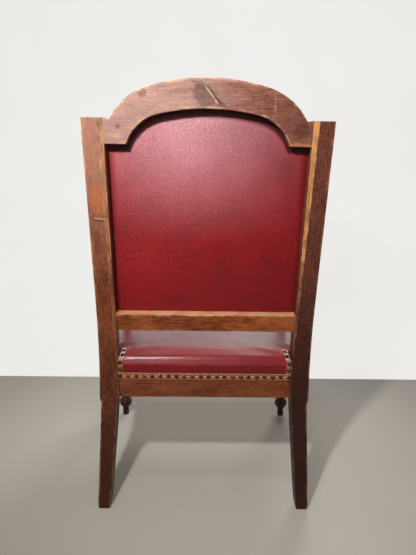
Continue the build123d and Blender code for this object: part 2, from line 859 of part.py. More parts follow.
# One dome nail's head, a many-sided dome with few faces
with BuildPart() as nail_head:
    with BuildSketch():
        RegularPolygon(nail_radius, nail_sides)
    extrude(amount=nail_height, taper=nail_taper)


def dome_nails(plane, places):
    """Nail heads standing on a plane, at their places on it."""
    with Locations(plane):
        with Locations(*places):
            add(nail_head.part)


rear_y = rear_rail_rear + leather
front_y = front_rail_front - leather
seat_sides = {
    "rear": ((block_inner - cloth_gap, rear_y), (-block_inner + cloth_gap, rear_y)),
    "front": ((-post_inner + cloth_gap, front_y), (post_inner - cloth_gap, front_y)),
    "left": (
        (side_x(post_rear + cloth_gap, -leather), post_rear + cloth_gap),
        (side_x(block_front - cloth_gap, -leather), block_front - cloth_gap),
    ),
    "right": (
        (-side_x(block_front - cloth_gap, -leather), block_front - cloth_gap),
        (-side_x(post_rear + cloth_gap, -leather), post_rear + cloth_gap),
    ),
}
for place, (start, end) in seat_sides.items():
    with BuildPart() as band:
        seat_band(start, end)
    keep(band, f"{place}_seat_trim")
    with BuildPart() as nails:
        plane, places = band_nails(start, end)
        dome_nails(plane.offset(band_thickness), places)
    keep(nails, f"{place}_seat_nails")

# Back nails, in a row along the middle of the back trim
with BuildPart() as back_nails:
    nail_line = (back_flange + back_dome_start) / 2
    with BuildLine() as path:
        opening_outline(nail_line)
    outline = Wire(path.edges())
    count = round(outline.length / nail_pitch)
    places = [outline.position_at(index / count) for index in range(count)]
    dome_nails(back_plane.offset(rail_depth + leather + band_thickness), [(p.X, p.Y) for p in places])
keep(back_nails, "back_nails")
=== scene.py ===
"""High-backed open armchair in old oak and red leather: its looks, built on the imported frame."""

import json
import logging
from dataclasses import dataclass, field
from enum import Enum
from functools import partial
from math import cos, hypot, pi, radians, sin, sqrt, tan
from typing import Any, Callable, Sequence

import bmesh
import bpy
from bpy.types import Material, Node, NodeSocket, NodeTree, Object
from mathutils import Matrix, Vector, noise
from mathutils.bvhtree import BVHTree

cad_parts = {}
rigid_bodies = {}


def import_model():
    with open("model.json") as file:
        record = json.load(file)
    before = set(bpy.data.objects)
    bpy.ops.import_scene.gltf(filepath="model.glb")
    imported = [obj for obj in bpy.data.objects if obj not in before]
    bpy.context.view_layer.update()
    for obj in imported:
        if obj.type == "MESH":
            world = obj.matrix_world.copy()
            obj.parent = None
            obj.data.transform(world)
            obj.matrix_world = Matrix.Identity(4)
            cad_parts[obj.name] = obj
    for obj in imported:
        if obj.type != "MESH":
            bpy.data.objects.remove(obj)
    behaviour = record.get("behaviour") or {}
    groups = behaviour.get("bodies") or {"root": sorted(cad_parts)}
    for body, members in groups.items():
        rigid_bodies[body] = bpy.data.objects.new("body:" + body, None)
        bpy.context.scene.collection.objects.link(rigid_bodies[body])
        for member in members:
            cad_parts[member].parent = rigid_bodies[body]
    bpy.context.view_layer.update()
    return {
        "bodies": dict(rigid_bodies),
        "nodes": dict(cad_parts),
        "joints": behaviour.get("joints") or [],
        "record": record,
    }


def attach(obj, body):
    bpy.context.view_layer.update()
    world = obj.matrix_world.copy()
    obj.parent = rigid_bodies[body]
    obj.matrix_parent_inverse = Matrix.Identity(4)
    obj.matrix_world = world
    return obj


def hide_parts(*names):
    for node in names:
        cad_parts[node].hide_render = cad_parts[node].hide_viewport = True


MM = 0.001
LOG = logging.getLogger("chair")
Section = tuple[list[tuple[float, float]], list[float]]
Profile = Sequence[tuple[float, float, float]]
SIDES = {1: "left", -1: "right"}


# Finishes


MATH, MIX, RANGE = "ShaderNodeMath", "ShaderNodeMix", "ShaderNodeMapRange"
NOISE, VECTORS = "ShaderNodeTexNoise", "ShaderNodeVectorMath"
PLUS, MINUS, TIMES = {"operation": "ADD"}, {"operation": "SUBTRACT"}, {"operation": "MULTIPLY"}
HIGHEST = {"operation": "MAXIMUM"}
CLAMPED = {"use_clamp": True}
COLOUR = {"data_type": "RGBA"}
SMOOTH = {"interpolation_type": "SMOOTHSTEP"}


def srgb(code: str) -> tuple[float, float, float, float]:
    """Turn an sRGB hex colour into linear red, green, blue and a full alpha.

    Args:
        code: six hex digits, with or without a leading hash.

    Returns:
        Four linear values.
    """
    parts = [int(code.lstrip("#")[i : i + 2], 16) / 255 for i in (0, 2, 4)]
    return (*[c / 12.92 if c <= 0.04045 else ((c + 0.055) / 1.055) ** 2.4 for c in parts], 1.0)


def add_node(
    tree: NodeTree,
    kind: str,
    settings: dict[str, object] | None = None,
    links: dict[int | str, object] | Sequence[object] = (),
    stops: Sequence[tuple[float, str]] = (),
) -> Node:
    """Add one node to a tree, with its settings, its inputs and, on a ramp, its colours.

    Args:
        tree: the tree that gets the node.
        kind: the node's type name.
        settings: properties of the node by name.
        links: the inputs, in order or by name or number, where a number counts the inputs in use. Each is
            a plain value, a socket to link from, or a node, which stands for its first output in use.
        stops: places and hex colours of a colour ramp.

    Returns:
        The new node.
    """
    node = tree.nodes.new(kind)
    for key, value in (settings or {}).items():
        setattr(node, key, value)
    used = [socket for socket in node.inputs if socket.enabled]
    for key, value in links.items() if isinstance(links, dict) else enumerate(links):
        socket = used[key] if isinstance(key, int) else node.inputs[key]
        if isinstance(value, Node):
            value = next(out for out in value.outputs if out.enabled)
        if isinstance(value, NodeSocket):
            tree.links.new(value, socket)
        else:
            socket.default_value = value
    for index, (place, colour) in enumerate(stops):
        ramp = node.color_ramp.elements
        stop = ramp[index] if index < 2 else ramp.new(place)
        stop.position, stop.color = place, srgb(colour)
    return node


def scaled(tree: NodeTree, scale: Sequence[float], turn: Sequence[float] = (0, 0, 0)) -> Node:
    """Object coordinates, turned and scaled for a pattern.

    Args:
        tree: the material's tree.
        scale: repeats per metre along each axis.
        turn: rotation in radians.

    Returns:
        The node that gives the vector.
    """
    place = add_node(tree, "ShaderNodeTexCoord").outputs["Object"]
    return add_node(tree, "ShaderNodeMapping", None, {0: place, "Scale": tuple(scale), "Rotation": tuple(turn)})


def painted(tree: NodeTree, name: str) -> NodeSocket:
    """A number that the mesh carries at each point."""
    return add_node(tree, "ShaderNodeAttribute", {"attribute_name": name}).outputs["Fac"]


def layered(tree: NodeTree, colour: object, layers: Sequence[tuple[object, str]]) -> object:
    """Colours laid over a first one, each by its share and in order."""
    for share, code in layers:
        colour = add_node(tree, MIX, COLOUR, (share, colour, srgb(code)))
    return colour


def new_material(name: str) -> tuple[Material, NodeTree]:
    """A material and its empty tree."""
    material = bpy.data.materials.new(name)
    material.use_nodes = True
    material.node_tree.nodes.clear()
    return material, material.node_tree


def surfaced(material: Material, values: dict[int | str, object]) -> Material:
    """Give a material its surface shader, with that shader's inputs."""
    shader = add_node(material.node_tree, "ShaderNodeBsdfPrincipled", None, values)
    add_node(material.node_tree, "ShaderNodeOutputMaterial", None, (shader,))
    return material


class Grain(Enum):
    """Which way the wood's grain runs in a piece."""

    ALONG_X = 0
    ALONG_Y = 1
    ALONG_Z = 2


@dataclass(frozen=True)
class Mark:
    """A scar or stain on a wooden piece, as an ellipse seen from behind, in millimetres."""

    x: float
    z: float
    length: float
    height: float
    turn: float
    colour: str
    strength: float

    def share(self, tree: NodeTree) -> Node:
        """How strongly the mark covers a point: an ellipse with a ragged edge."""
        place = {
            0: add_node(tree, "ShaderNodeTexCoord").outputs["Object"],
            "Location": (self.x * MM, 0, self.z * MM),
            "Rotation": (0, radians(self.turn), 0),
            "Scale": (self.length * MM / 2, 1000.0, self.height * MM / 2),
        }
        moved = add_node(tree, "ShaderNodeMapping", {"vector_type": "TEXTURE"}, place)
        away = add_node(tree, VECTORS, {"operation": "LENGTH"}, (moved,))
        ragged = add_node(tree, NOISE, None, {0: scaled(tree, (150, 150, 150)), "Scale": 1.0, "Detail": 4.0})
        ragged = add_node(tree, MATH, TIMES, (add_node(tree, MATH, MINUS, (ragged, 0.5)), 1.1))
        away = add_node(tree, MATH, PLUS, (away, ragged))
        return add_node(tree, RANGE, SMOOTH, (away, 0.7, 1.05, self.strength, 0.0))


@dataclass(frozen=True)
class OldOak:
    """Oak, stained brown and waxed long ago: satin, with open dark pores, uneven stain and arrises rubbed pale."""

    name: str
    grain: Grain
    dark: str = "#3A1D10"
    middle: str = "#6A3A22"
    light: str = "#8E5633"
    worn: str = "#C08858"
    wear: float = 0.75
    rough: float = 0.46
    dim_below: float = 0.0
    dim_from: float = 0.12
    dim: float = 0.72
    pale_above: float = 0.0
    haze: float = 0.0
    fineness: float = 1.0
    glow: float = 0.5
    flecks: float = 0.4
    marks: tuple[Mark, ...] = ()

    def build(self) -> Material:
        """Build the material.

        Returns:
            The finished material.
        """
        material, tree = new_material(self.name)
        # growth rings cut through as lines about 3 mm apart, and pores 0.3 mm wide drawn at 1.5 mm so that they show
        rings = self.drawn_out(tree, 330.0 * self.fineness, 24.0, 4.0, 0.35)
        pores = self.drawn_out(tree, 640.0 * self.fineness, 95.0, 3.0, 0.2)
        rays = self.drawn_out(tree, 380.0, 120.0, 2.0, 0.0)
        blotch = self.drawn_out(tree, 26.0, 13.0, 4.0, 0.5)
        cloud = self.drawn_out(tree, 19.0, 10.0, 4.0, 0.4)
        patches = self.drawn_out(tree, 70.0, 26.0, 4.0, 0.6)
        stops = ((0.25, self.dark), (0.77, self.light), (0.52, self.middle))
        pore = add_node(tree, RANGE, SMOOTH, (pores, 0.5, 0.64, 0.0, 1.0))
        layers = [
            (add_node(tree, RANGE, SMOOTH, (blotch, 0.42, 0.75, 0.0, 0.5)), self.dark),
            (add_node(tree, RANGE, SMOOTH, (cloud, 0.46, 0.7, 0.0, self.glow)), self.light),
            (add_node(tree, MATH, TIMES, (pore, 0.6)), "#2A130D"),
            # rays of the oak show as pale flecks a few millimetres long
            (add_node(tree, RANGE, SMOOTH, (rays, 0.62, 0.72, 0.0, self.flecks)), self.worn),
        ]
        if self.dim_below:
            # painted shade darkens the wood towards the foot, and painted light makes it paler higher up
            level = self.place_along(tree, 2, blotch, 0.12)
            low = add_node(tree, RANGE, SMOOTH, (level, self.dim_from, self.dim_below, self.dim, 0.0))
            high = add_node(tree, RANGE, SMOOTH, (level, 0.68, 1.2, 0.0, self.pale_above))
            layers += [(low, "#260B05"), (high, "#BC927C")]
        if self.haze:
            # painted sheen: one side is painted paler, as if lit
            aside = self.place_along(tree, 0, blotch, 0.2)
            layers.append((add_node(tree, RANGE, SMOOTH, (aside, -0.03, 0.14, 0.0, self.haze)), "#E2C8BE"))
        layers += [(mark.share(tree), mark.colour) for mark in self.marks]
        pale_share = painted(tree, "wear")
        patchy = add_node(tree, RANGE, SMOOTH, (patches, 0.42, 0.66, 0.0, 1.0))
        share = add_node(tree, MATH, TIMES, (add_node(tree, MATH, TIMES, (pale_share, patchy)), self.wear))
        # where the wear is over 1 the polish has gone everywhere, and not only in patches
        bare = add_node(tree, MATH, MINUS | CLAMPED, (pale_share, 1.0))
        share = add_node(tree, MATH, PLUS | CLAMPED, (share, bare))
        layers.append((share, self.worn))
        uneven = add_node(tree, MATH, TIMES, (blotch, 0.2))
        roughness = add_node(tree, MATH, PLUS, (uneven, self.rough - 0.08))
        dulled = add_node(tree, MATH, TIMES, (share, 0.12))
        lines = (add_node(tree, MATH, TIMES, (rings, 0.4)), add_node(tree, MATH, TIMES, (pore, 0.6)))
        height = add_node(tree, MATH, MINUS, lines)
        relief = {"Strength": 0.7, "Distance": 0.6 * MM, "Height": height}
        values = {
            "Base Color": layered(tree, add_node(tree, "ShaderNodeValToRGB", None, (rings,), stops), layers),
            "Roughness": add_node(tree, MATH, PLUS | CLAMPED, (roughness, dulled)),
            "Normal": add_node(tree, "ShaderNodeBump", None, relief),
            "Specular IOR Level": 0.24,
        }
        return surfaced(material, values)

    def drawn_out(self, tree: NodeTree, across: float, along: float, detail: float, twist: float) -> Node:
        """Noise drawn out along the grain.

        Args:
            tree: the material's tree.
            across: repeats per metre across the grain.
            along: repeats per metre along it.
            detail: the noise's octaves.
            twist: its distortion.

        Returns:
            The node that gives the noise's value.
        """
        scale = [across] * 3
        scale[self.grain.value] = along
        values = {0: scaled(tree, scale), "Scale": 1.0, "Detail": detail, "Roughness": 0.55, "Distortion": twist}
        return add_node(tree, NOISE, None, values)

    def place_along(self, tree: NodeTree, axis: int, blotch: Node, stray: float) -> Node:
        """Place along an axis in metres, blurred unevenly by the blotches of the stain."""
        place = add_node(tree, "ShaderNodeTexCoord").outputs["Object"]
        split = add_node(tree, "ShaderNodeSeparateXYZ", None, (place,)).outputs[axis]
        return add_node(tree, MATH, PLUS, (split, add_node(tree, MATH, TIMES, (blotch, stray))))


@dataclass(frozen=True)
class RedLeather:
    """Vegetable-tanned hide, dyed red and polished: a soft gloss over fine pebble grain and faint creases."""

    name: str
    deep: str = "#6E0A10"
    body: str = "#951017"
    faded: str = "#A2161D"
    rough: float = 0.46
    crease: float = 1.0
    polish: float = 0.25
    sharpness: float = 0.24
    relief: float = 0.75
    shine: float = 0.2

    def build(self) -> Material:
        """Build the material.

        Returns:
            The finished material.
        """
        material, tree = new_material(self.name)
        cloud, fleck, bend, rub = [
            add_node(
                tree, NOISE, None, {0: scaled(tree, (size,) * 3), "Scale": 1.0, "Detail": detail, "Distortion": twist}
            )
            for size, detail, twist in ((9, 5.0, 0.3), (260, 3.0, 0.0), (90, 2.0, 0.0), (16, 3.0, 0.0))
        ]
        # painted sheen: the hide is painted pale pink where light shines on it, and painted shade darkens it near black
        # where shadow falls along its edges
        painted_sheen = painted(tree, "painted_sheen")
        clouded = add_node(tree, MATH, PLUS, (add_node(tree, MATH, TIMES, (cloud, 0.5)), 0.05))
        flecked = add_node(tree, MATH, TIMES, (painted_sheen, fleck))
        pale_share = add_node(tree, MATH, PLUS | CLAMPED, (add_node(tree, MATH, TIMES, (painted_sheen, clouded)), flecked))
        # pebbles of the grain about 1.2 mm across, drawn at 2.6 mm so that they show
        warp = (bend.outputs["Color"], (0.9, 0.9, 0.9), scaled(tree, (300, 300, 430)))
        warped = add_node(tree, VECTORS, {"operation": "MULTIPLY_ADD"}, warp)
        cell = add_node(
            tree, "ShaderNodeTexVoronoi", {"feature": "DISTANCE_TO_EDGE"}, {0: warped, "Scale": 1.0}
        )
        pebble = add_node(tree, RANGE, SMOOTH, (cell, 0.0, 0.32, 0.0, 1.0))
        valley = add_node(tree, MATH, MINUS, (1.0, pebble))
        # creases of the hide, 8 to 25 mm apart, running unevenly and mostly level
        level = scaled(tree, (42, 42, 95), (0, radians(12), 0))
        fold = add_node(tree, NOISE, None, {0: level, "Scale": 1.0, "Detail": 6.0, "Distortion": 1.1})
        fold = add_node(tree, MATH, {"operation": "ABSOLUTE"}, (add_node(tree, MATH, MINUS, (fold, 0.5)),))
        fold = add_node(tree, RANGE, SMOOTH, (fold, 0.0, 0.05, 0.0, 1.0))
        height = add_node(tree, MATH, TIMES, (pebble, 0.4))
        for part, share in ((fold, 0.55 * self.crease), (fleck, 0.5)):
            height = add_node(tree, MATH, PLUS, (height, add_node(tree, MATH, TIMES, (part, share))))
        bump = add_node(
            tree, "ShaderNodeBump", None, {"Strength": self.relief, "Distance": 0.9 * MM, "Height": height}
        )
        stops = ((0.05, self.deep), (0.9, self.faded), (0.5, self.body))
        layers = (
            (add_node(tree, RANGE, SMOOTH, (fleck, 0.5, 0.72, 0.0, 0.3)), self.deep),
            # painted sheen: pale pink laid over the red where light shines on the hide
            (add_node(tree, MATH, TIMES, (pale_share, 0.78)), "#ECC0C9"),
            # painted shade: near black where shadow falls
            (add_node(tree, MATH, TIMES, (painted(tree, "painted_shade"), 0.97)), "#0E0306"),
            (add_node(tree, MATH, TIMES, (valley, 0.4)), self.deep),
        )
        values = {
            "Base Color": layered(tree, add_node(tree, "ShaderNodeValToRGB", None, (cloud,), stops), layers),
            "Roughness": add_node(tree, RANGE, SMOOTH, (rub, 0.3, 0.7, self.rough - 0.05, self.rough + 0.1)),
            "Normal": bump,
            "Specular IOR Level": self.shine,
            "Coat Weight": self.polish,
            "Coat Roughness": self.sharpness,
            "Coat Normal": bump,
        }
        return surfaced(material, values)


@dataclass(frozen=True)
class WovenCloth:
    """Plain-woven jute or linen: matt, with threads that cross and slubs of uneven colour."""

    name: str
    body: str
    shade: str
    thread: float
    rough: float = 0.9
    slant: float = 0.0
    edge: str = ""

    def build(self) -> Material:
        """Build the material.

        Returns:
            The finished material.
        """
        material, tree = new_material(self.name)
        repeats = 1000 / self.thread / 6.28
        warp, weft = [
            add_node(
                tree, "ShaderNodeTexWave", {"bands_direction": bands}, {0: place, "Scale": 1.0, "Distortion": 0.6}
            ).outputs["Fac"]
            for bands, place in (
                ("X", scaled(tree, (repeats,) * 3, (0, self.slant, self.slant))),
                ("DIAGONAL", scaled(tree, (0.0, repeats, repeats))),
            )
        ]
        weave = add_node(tree, MATH, TIMES, (warp, weft))
        slub = add_node(tree, NOISE, None, {0: scaled(tree, (120, 30, 120)), "Scale": 1.0, "Detail": 4.0})
        raised = add_node(tree, RANGE, SMOOTH, (weave, 0.0, 0.7, 0.0, 1.0))
        layers = [(raised, self.body), (add_node(tree, RANGE, SMOOTH, (slub, 0.45, 0.75, 0.0, 0.45)), self.shade)]
        if self.edge:
            # the braid's two edges are worked in another colour, and where it turns over the roll a painted highlight
            # makes it almost white
            border = add_node(tree, RANGE, SMOOTH, (painted(tree, "edge"), 0.35, 0.75, 0.0, 0.8))
            layers += [(border, self.edge), (add_node(tree, MATH, TIMES, (painted(tree, "painted_sheen"), 0.85)), "#EFE2CE")]
        relief = {"Strength": 0.6, "Distance": self.thread * 0.35 * MM, "Height": weave}
        values = {
            "Base Color": layered(tree, srgb(self.shade), layers),
            "Normal": add_node(tree, "ShaderNodeBump", None, relief),
            "Roughness": self.rough,
            "Sheen Weight": 0.2,
        }
        return surfaced(material, values)


@dataclass(frozen=True)
class AgedBronze:
    """Stamped brass nail heads gone brown: dark oxide in most places, metal showing where they are rubbed."""

    name: str
    bright: str = "#8A6238"
    dark: str = "#120A06"

    def build(self) -> Material:
        """Build the material.

        Returns:
            The finished material.
        """
        material, tree = new_material(self.name)
        patina = add_node(tree, NOISE, None, {0: scaled(tree, (320, 320, 320)), "Scale": 1.0, "Detail": 3.0})
        tone = add_node(tree, MATH, TIMES, (painted(tree, "tone"), 0.3))
        share = add_node(tree, MATH, PLUS, (patina, tone))
        share = add_node(tree, RANGE, SMOOTH, (share, 0.5, 0.95, 0.0, 0.6))
        relief = {"Strength": 0.25, "Distance": 0.3 * MM, "Height": patina}
        values = {
            "Base Color": layered(tree, srgb(self.dark), [(share, self.bright)]),
            "Roughness": add_node(tree, RANGE, SMOOTH, (patina, 0.3, 0.7, 0.24, 0.42)),
            "Normal": add_node(tree, "ShaderNodeBump", None, relief),
            "Metallic": 0.85,
            "Coat Weight": 1.0,
            "Coat Roughness": 0.27,
        }
        return surfaced(material, values)


@dataclass(frozen=True)
class PlainPaint:
    """Matt paint on floor and backdrop: pale to the camera and in mirrors, and seen from the chair's side only."""

    name: str
    colour: str
    shade: str
    glow: float

    def build(self) -> Material:
        """Build the material.

        Returns:
            The finished material.
        """
        material, tree = new_material(self.name)
        cloud = add_node(tree, NOISE, None, {0: scaled(tree, (3, 3, 3)), "Scale": 1.0, "Detail": 2.0})
        colour = add_node(tree, MIX, COLOUR, (cloud, srgb(self.colour), srgb(self.shade)))
        surfaced(material, {"Base Color": colour, "Roughness": 0.9})
        output, shader = tree.nodes["Material Output"], tree.nodes["Principled BSDF"]
        ray = add_node(tree, "ShaderNodeLightPath").outputs
        seen = add_node(tree, MATH, HIGHEST, (ray["Is Camera Ray"], ray["Is Glossy Ray"]))
        seen = add_node(tree, MATH, HIGHEST, (seen, ray["Is Transmission Ray"]))
        white = add_node(tree, "ShaderNodeEmission", None, {"Color": colour, "Strength": 1.0})
        share = add_node(tree, MATH, TIMES, (seen, self.glow))
        both = add_node(tree, "ShaderNodeMixShader", None, (share, shader, white))
        behind = add_node(tree, "ShaderNodeNewGeometry").outputs["Backfacing"]
        clear = add_node(tree, "ShaderNodeBsdfTransparent")
        one_sided = add_node(tree, "ShaderNodeMixShader", None, (behind, both, clear))
        tree.links.new(one_sided.outputs[0], output.inputs[0])
        return material


# Mesh making


def clamp(value: float) -> float:
    """A number held between 0 and 1."""
    return min(1.0, max(0.0, value))


def at(x: float, y: float, z: float) -> Vector:
    """A place in millimetres as a point in metres."""
    return Vector((x, y, z)) * MM


def jitter(place: Vector, size: float, seed: float) -> float:
    """Smooth noise between -1 and 1 at a place, with features of about that size in metres."""
    return noise.noise(place / size + Vector((seed, seed * 1.7, seed * 0.6)))


def new_piece(name: str, verts: Sequence[Vector], faces: Sequence[Sequence[int]]) -> Object:
    """A mesh object at the origin from points and faces."""
    mesh = bpy.data.meshes.new(name)
    mesh.from_pydata([tuple(v) for v in verts], [], [tuple(f) for f in faces])
    mesh.validate()
    piece = bpy.data.objects.new(name, mesh)
    bpy.context.scene.collection.objects.link(piece)
    return piece


def grid_faces(
    rows: int, columns: int, closed: bool = False, looped: bool = False, turned: bool = False
) -> list[Sequence[int]]:
    """Four-sided faces between points that lie in rows.

    Args:
        rows: how many rows.
        columns: points in each row.
        closed: whether each row's last point joins its first.
        looped: whether the last row joins the first.
        turned: whether the faces look the other way.

    Returns:
        The faces.
    """
    faces = [
        (r * columns + i, r * columns + j, (r + 1) % rows * columns + j, (r + 1) % rows * columns + i)
        for r in range(rows if looped else rows - 1)
        for i in range(columns if closed else columns - 1)
        for j in [(i + 1) % columns]
    ]
    return [(a, d, c, b) for a, b, c, d in faces] if turned else faces


def carry(piece: Object, name: str, values: Sequence[float]) -> None:
    """Write a number at each point of a mesh, for its material to read."""
    piece.data.attributes.new(name, "FLOAT", "POINT").data.foreach_set("value", values)


def outward(piece: Object) -> None:
    """Turn a closed mesh's faces outwards, after its doubles are merged."""
    work = bmesh.new()
    work.from_mesh(piece.data)
    bmesh.ops.remove_doubles(work, verts=work.verts, dist=1e-6)
    bmesh.ops.recalc_face_normals(work, faces=work.faces)
    work.to_mesh(piece.data)
    work.free()


def smooth(piece: Object, angle: float = 50.0) -> None:
    """Shade a mesh smooth, with edges over an angle kept sharp."""
    piece.data.shade_smooth()
    piece.data.set_sharp_from_angle(angle=radians(angle))


def rounded(corners: Sequence[tuple[float, float]], radii: Sequence[float], support: float = 5.0) -> Section:
    """A closed section with rounded corners, and how exposed to wear each of its points is.

    Args:
        corners: the section's corners in order, in millimetres.
        radii: a radius for each corner.
        support: how far from each corner the wear has died out.

    Returns:
        The section's points and their wear.
    """
    points: list[tuple[float, float]] = []
    wear: list[float] = []
    for index, corner in enumerate(corners):
        here = Vector(corner)
        before = Vector(corners[index - 1]) - here
        after = Vector(corners[(index + 1) % len(corners)]) - here
        half = before.angle(after) / 2
        run = min(radii[index] / tan(half), 0.45 * before.length, 0.45 * after.length)
        reach = run + min(support, 0.25 * before.length, 0.25 * after.length)
        start, end = here + before.normalized() * run, here + after.normalized() * run
        points.append(tuple(here + before.normalized() * reach))
        for t in (0, 1 / 3, 2 / 3, 1):
            points.append(tuple((1 - t) ** 2 * start + 2 * t * (1 - t) * here + t**2 * end))
        points.append(tuple(here + after.normalized() * (run + min(support, 0.25 * after.length))))
        wear += [0.0, 0.75, 1.0, 1.0, 0.75, 0.0]
    return points, wear


def ring_solid(
    name: str,
    stations: Sequence[Any],
    sections: Sequence[Section],
    place: Callable[[Any, float, float], Vector],
    end_inset: float = 1.0,
    rough: float = 0.25,
    seed: float = 0.0,
) -> Object:
    """A closed solid through a run of sections, with softened ends, worn arrises and a hand-worked surface.

    Args:
        name: the piece's name.
        stations: where each section stands, as place wants it.
        sections: sections with as many points each, in millimetres.
        place: turns a station and a point of its section into a point in metres.
        end_inset: how far the end faces are drawn in, in millimetres.
        rough: how far the surface wanders, in millimetres.
        seed: where the wandering starts.

    Returns:
        The piece, with a wear attribute on its points.
    """
    verts = [place(station, a, b) for station, (points, _) in zip(stations, sections) for a, b in points]
    wear = [value for _, exposed in sections for value in exposed]
    rows, size = len(sections), len(sections[0][0])
    faces = grid_faces(rows, size, closed=True)
    for start, beyond in ((0, size), ((rows - 1) * size, (rows - 2) * size)):
        ring = verts[start : start + size]
        middle = sum(ring, Vector()) / size
        axis = (middle - sum(verts[beyond : beyond + size], Vector()) / size).normalized()
        base = len(verts)
        for point in ring:
            inward = (middle - point).normalized() * min(end_inset * MM, (middle - point).length / 2)
            verts.append(point + inward + axis * end_inset * MM * 0.3)
        wear += [0.6] * size
        faces += [(start + i, start + (i + 1) % size, base + (i + 1) % size, base + i) for i in range(size)]
        faces.append(range(base, base + size))
    piece = new_piece(name, verts, faces)
    carry(piece, "wear", wear)
    work = bmesh.new()
    work.from_mesh(piece.data)
    bmesh.ops.recalc_face_normals(work, faces=work.faces)
    work.normal_update()
    for vert in work.verts:
        vert.co += vert.normal * rough * MM * (jitter(vert.co, 0.05, seed) + 0.4 * jitter(vert.co, 0.012, seed + 9))
    work.to_mesh(piece.data)
    work.free()
    smooth(piece, 40.0)
    return piece


def join_into(target: Object, others: Sequence[Object]) -> None:
    """Add other pieces' meshes to a piece's own, and drop the others."""
    every = [target, *others]
    with bpy.context.temp_override(
        active_object=target, object=target, selected_objects=every, selected_editable_objects=every
    ):
        bpy.ops.object.join()


def settle(piece: Object) -> Object:
    """Apply a piece's modifiers by taking its evaluated mesh."""
    graph = bpy.context.evaluated_depsgraph_get()
    mesh = bpy.data.meshes.new_from_object(piece.evaluated_get(graph), preserve_all_data_layers=True, depsgraph=graph)
    piece.modifiers.clear()
    old, piece.data = piece.data, mesh
    bpy.data.meshes.remove(old)
    piece.data.name = piece.name
    return piece


def modify(piece: Object, kind: str, **settings: object) -> None:
    """Give a piece one modifier with its settings, and apply it."""
    modifier = piece.modifiers.new(kind.lower(), kind)
    for key, value in settings.items():
        setattr(modifier, key, value)
    settle(piece)


def grow(piece: Object, tree: NodeTree, values: dict[str, float]) -> Object:
    """Run a tree of geometry nodes on a piece and keep what it makes.

    Args:
        piece: the points that the tree starts from.
        tree: the tree.
        values: the tree's inputs by name, each set by its socket's identifier.

    Returns:
        The piece.
    """
    modifier = piece.modifiers.new(tree.name, "NODES")
    modifier.node_group = tree
    sockets = {s.name: s.identifier for s in tree.interface.items_tree if s.in_out == "INPUT"}
    for name, value in values.items():
        modifier[sockets[name]] = value
    return settle(piece)


def new_tree(name: str, sizes: dict[str, float]) -> NodeTree:
    """A tree of geometry nodes that takes points and some sizes and gives a mesh."""
    tree = bpy.data.node_groups.new(name, "GeometryNodeTree")
    tree.interface.new_socket("Points", in_out="INPUT", socket_type="NodeSocketGeometry")
    for size, value in sizes.items():
        tree.interface.new_socket(size, in_out="INPUT", socket_type="NodeSocketFloat").default_value = value
    tree.interface.new_socket("Mesh", in_out="OUTPUT", socket_type="NodeSocketGeometry")
    return tree


def dress(piece: Object, material: Material, slot: str, *nodes: str) -> Object:
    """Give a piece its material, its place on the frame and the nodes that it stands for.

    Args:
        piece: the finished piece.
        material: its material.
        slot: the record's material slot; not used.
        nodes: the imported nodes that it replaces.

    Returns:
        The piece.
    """
    piece.data.materials.clear()
    piece.data.materials.append(material)
    piece.data.polygons.foreach_set("material_index", [0] * len(piece.data.polygons))
    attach(piece, "root")
    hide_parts(*nodes)
    LOG.info("%s: %d faces", piece.name, len(piece.data.polygons))
    return piece


def even(low: float, high: float, step: float, extra: Sequence[float] = ()) -> list[float]:
    """Stations from low to high about a step apart, with some that must be among them."""
    count = max(1, round((high - low) / step))
    stations = [low + (high - low) * i / count for i in range(count + 1)]
    stations = [s for s in stations if all(abs(s - e) > 0.4 * step for e in extra)]
    return sorted(stations + [e for e in extra if low <= e <= high])


# The chair's common sizes, in millimetres


@dataclass(frozen=True)
class BackPlane:
    """The raked plane of the back rails' rear faces."""

    foot: float = 137.52
    rake: float = radians(9.5)

    def point(self, x: float, up: float, forward: float) -> Vector:
        """A point on the back in metres, from its place up the slope and in front of the rails' rear faces."""
        lean, rise = sin(self.rake), cos(self.rake)
        return at(x, self.foot + up * lean - forward * rise, up * rise + forward * lean)

    def way(self) -> Vector:
        """The way that the back faces, towards the sitter."""
        return (self.point(0, 0, 1) - self.point(0, 0, 0)).normalized()

    def line(self, z: float, forward: float) -> float:
        """Place in depth of a raked face at a height."""
        return self.foot - forward / cos(self.rake) + z * tan(self.rake)

    def up(self, z: float) -> float:
        """Distance up the slope to a height on the rails' rear faces."""
        return z / cos(self.rake)


@dataclass(frozen=True)
class Arch:
    """A three-centred arch over a level line: its height above that line at any distance from the middle."""

    half: float
    rise: float
    crown_radius: float
    crown_turn: float

    def height(self, x: float, grow: float = 0.0) -> float:
        """Height of the arch above its foot at a distance from the middle.

        Args:
            x: distance from the middle.
            grow: how far the arch is grown outwards from its centres.

        Returns:
            The height, or zero past its ends.
        """
        turn = radians(self.crown_turn)
        across = self.half - self.crown_radius * sin(turn)
        up = self.rise - self.crown_radius * (1 - cos(turn))
        haunch = (across**2 + up**2) / (2 * (up * cos(turn) - across * sin(turn)))
        x = abs(x)
        if x <= (self.crown_radius + grow) * sin(turn):
            return self.rise - self.crown_radius + sqrt((self.crown_radius + grow) ** 2 - x**2)
        centre_x = (self.crown_radius - haunch) * sin(turn)
        centre_y = self.rise - self.crown_radius + (self.crown_radius - haunch) * cos(turn)
        inside = (haunch + grow) ** 2 - (x - centre_x) ** 2
        return max(0.0, centre_y + sqrt(inside)) if inside > 0 else 0.0

    def over(self, x: float, grow: float = 0.0, past: float = 0.0) -> float:
        """Height between the arch's ends, and a level height past them."""
        return self.height(x, grow) if abs(x) < self.half else past


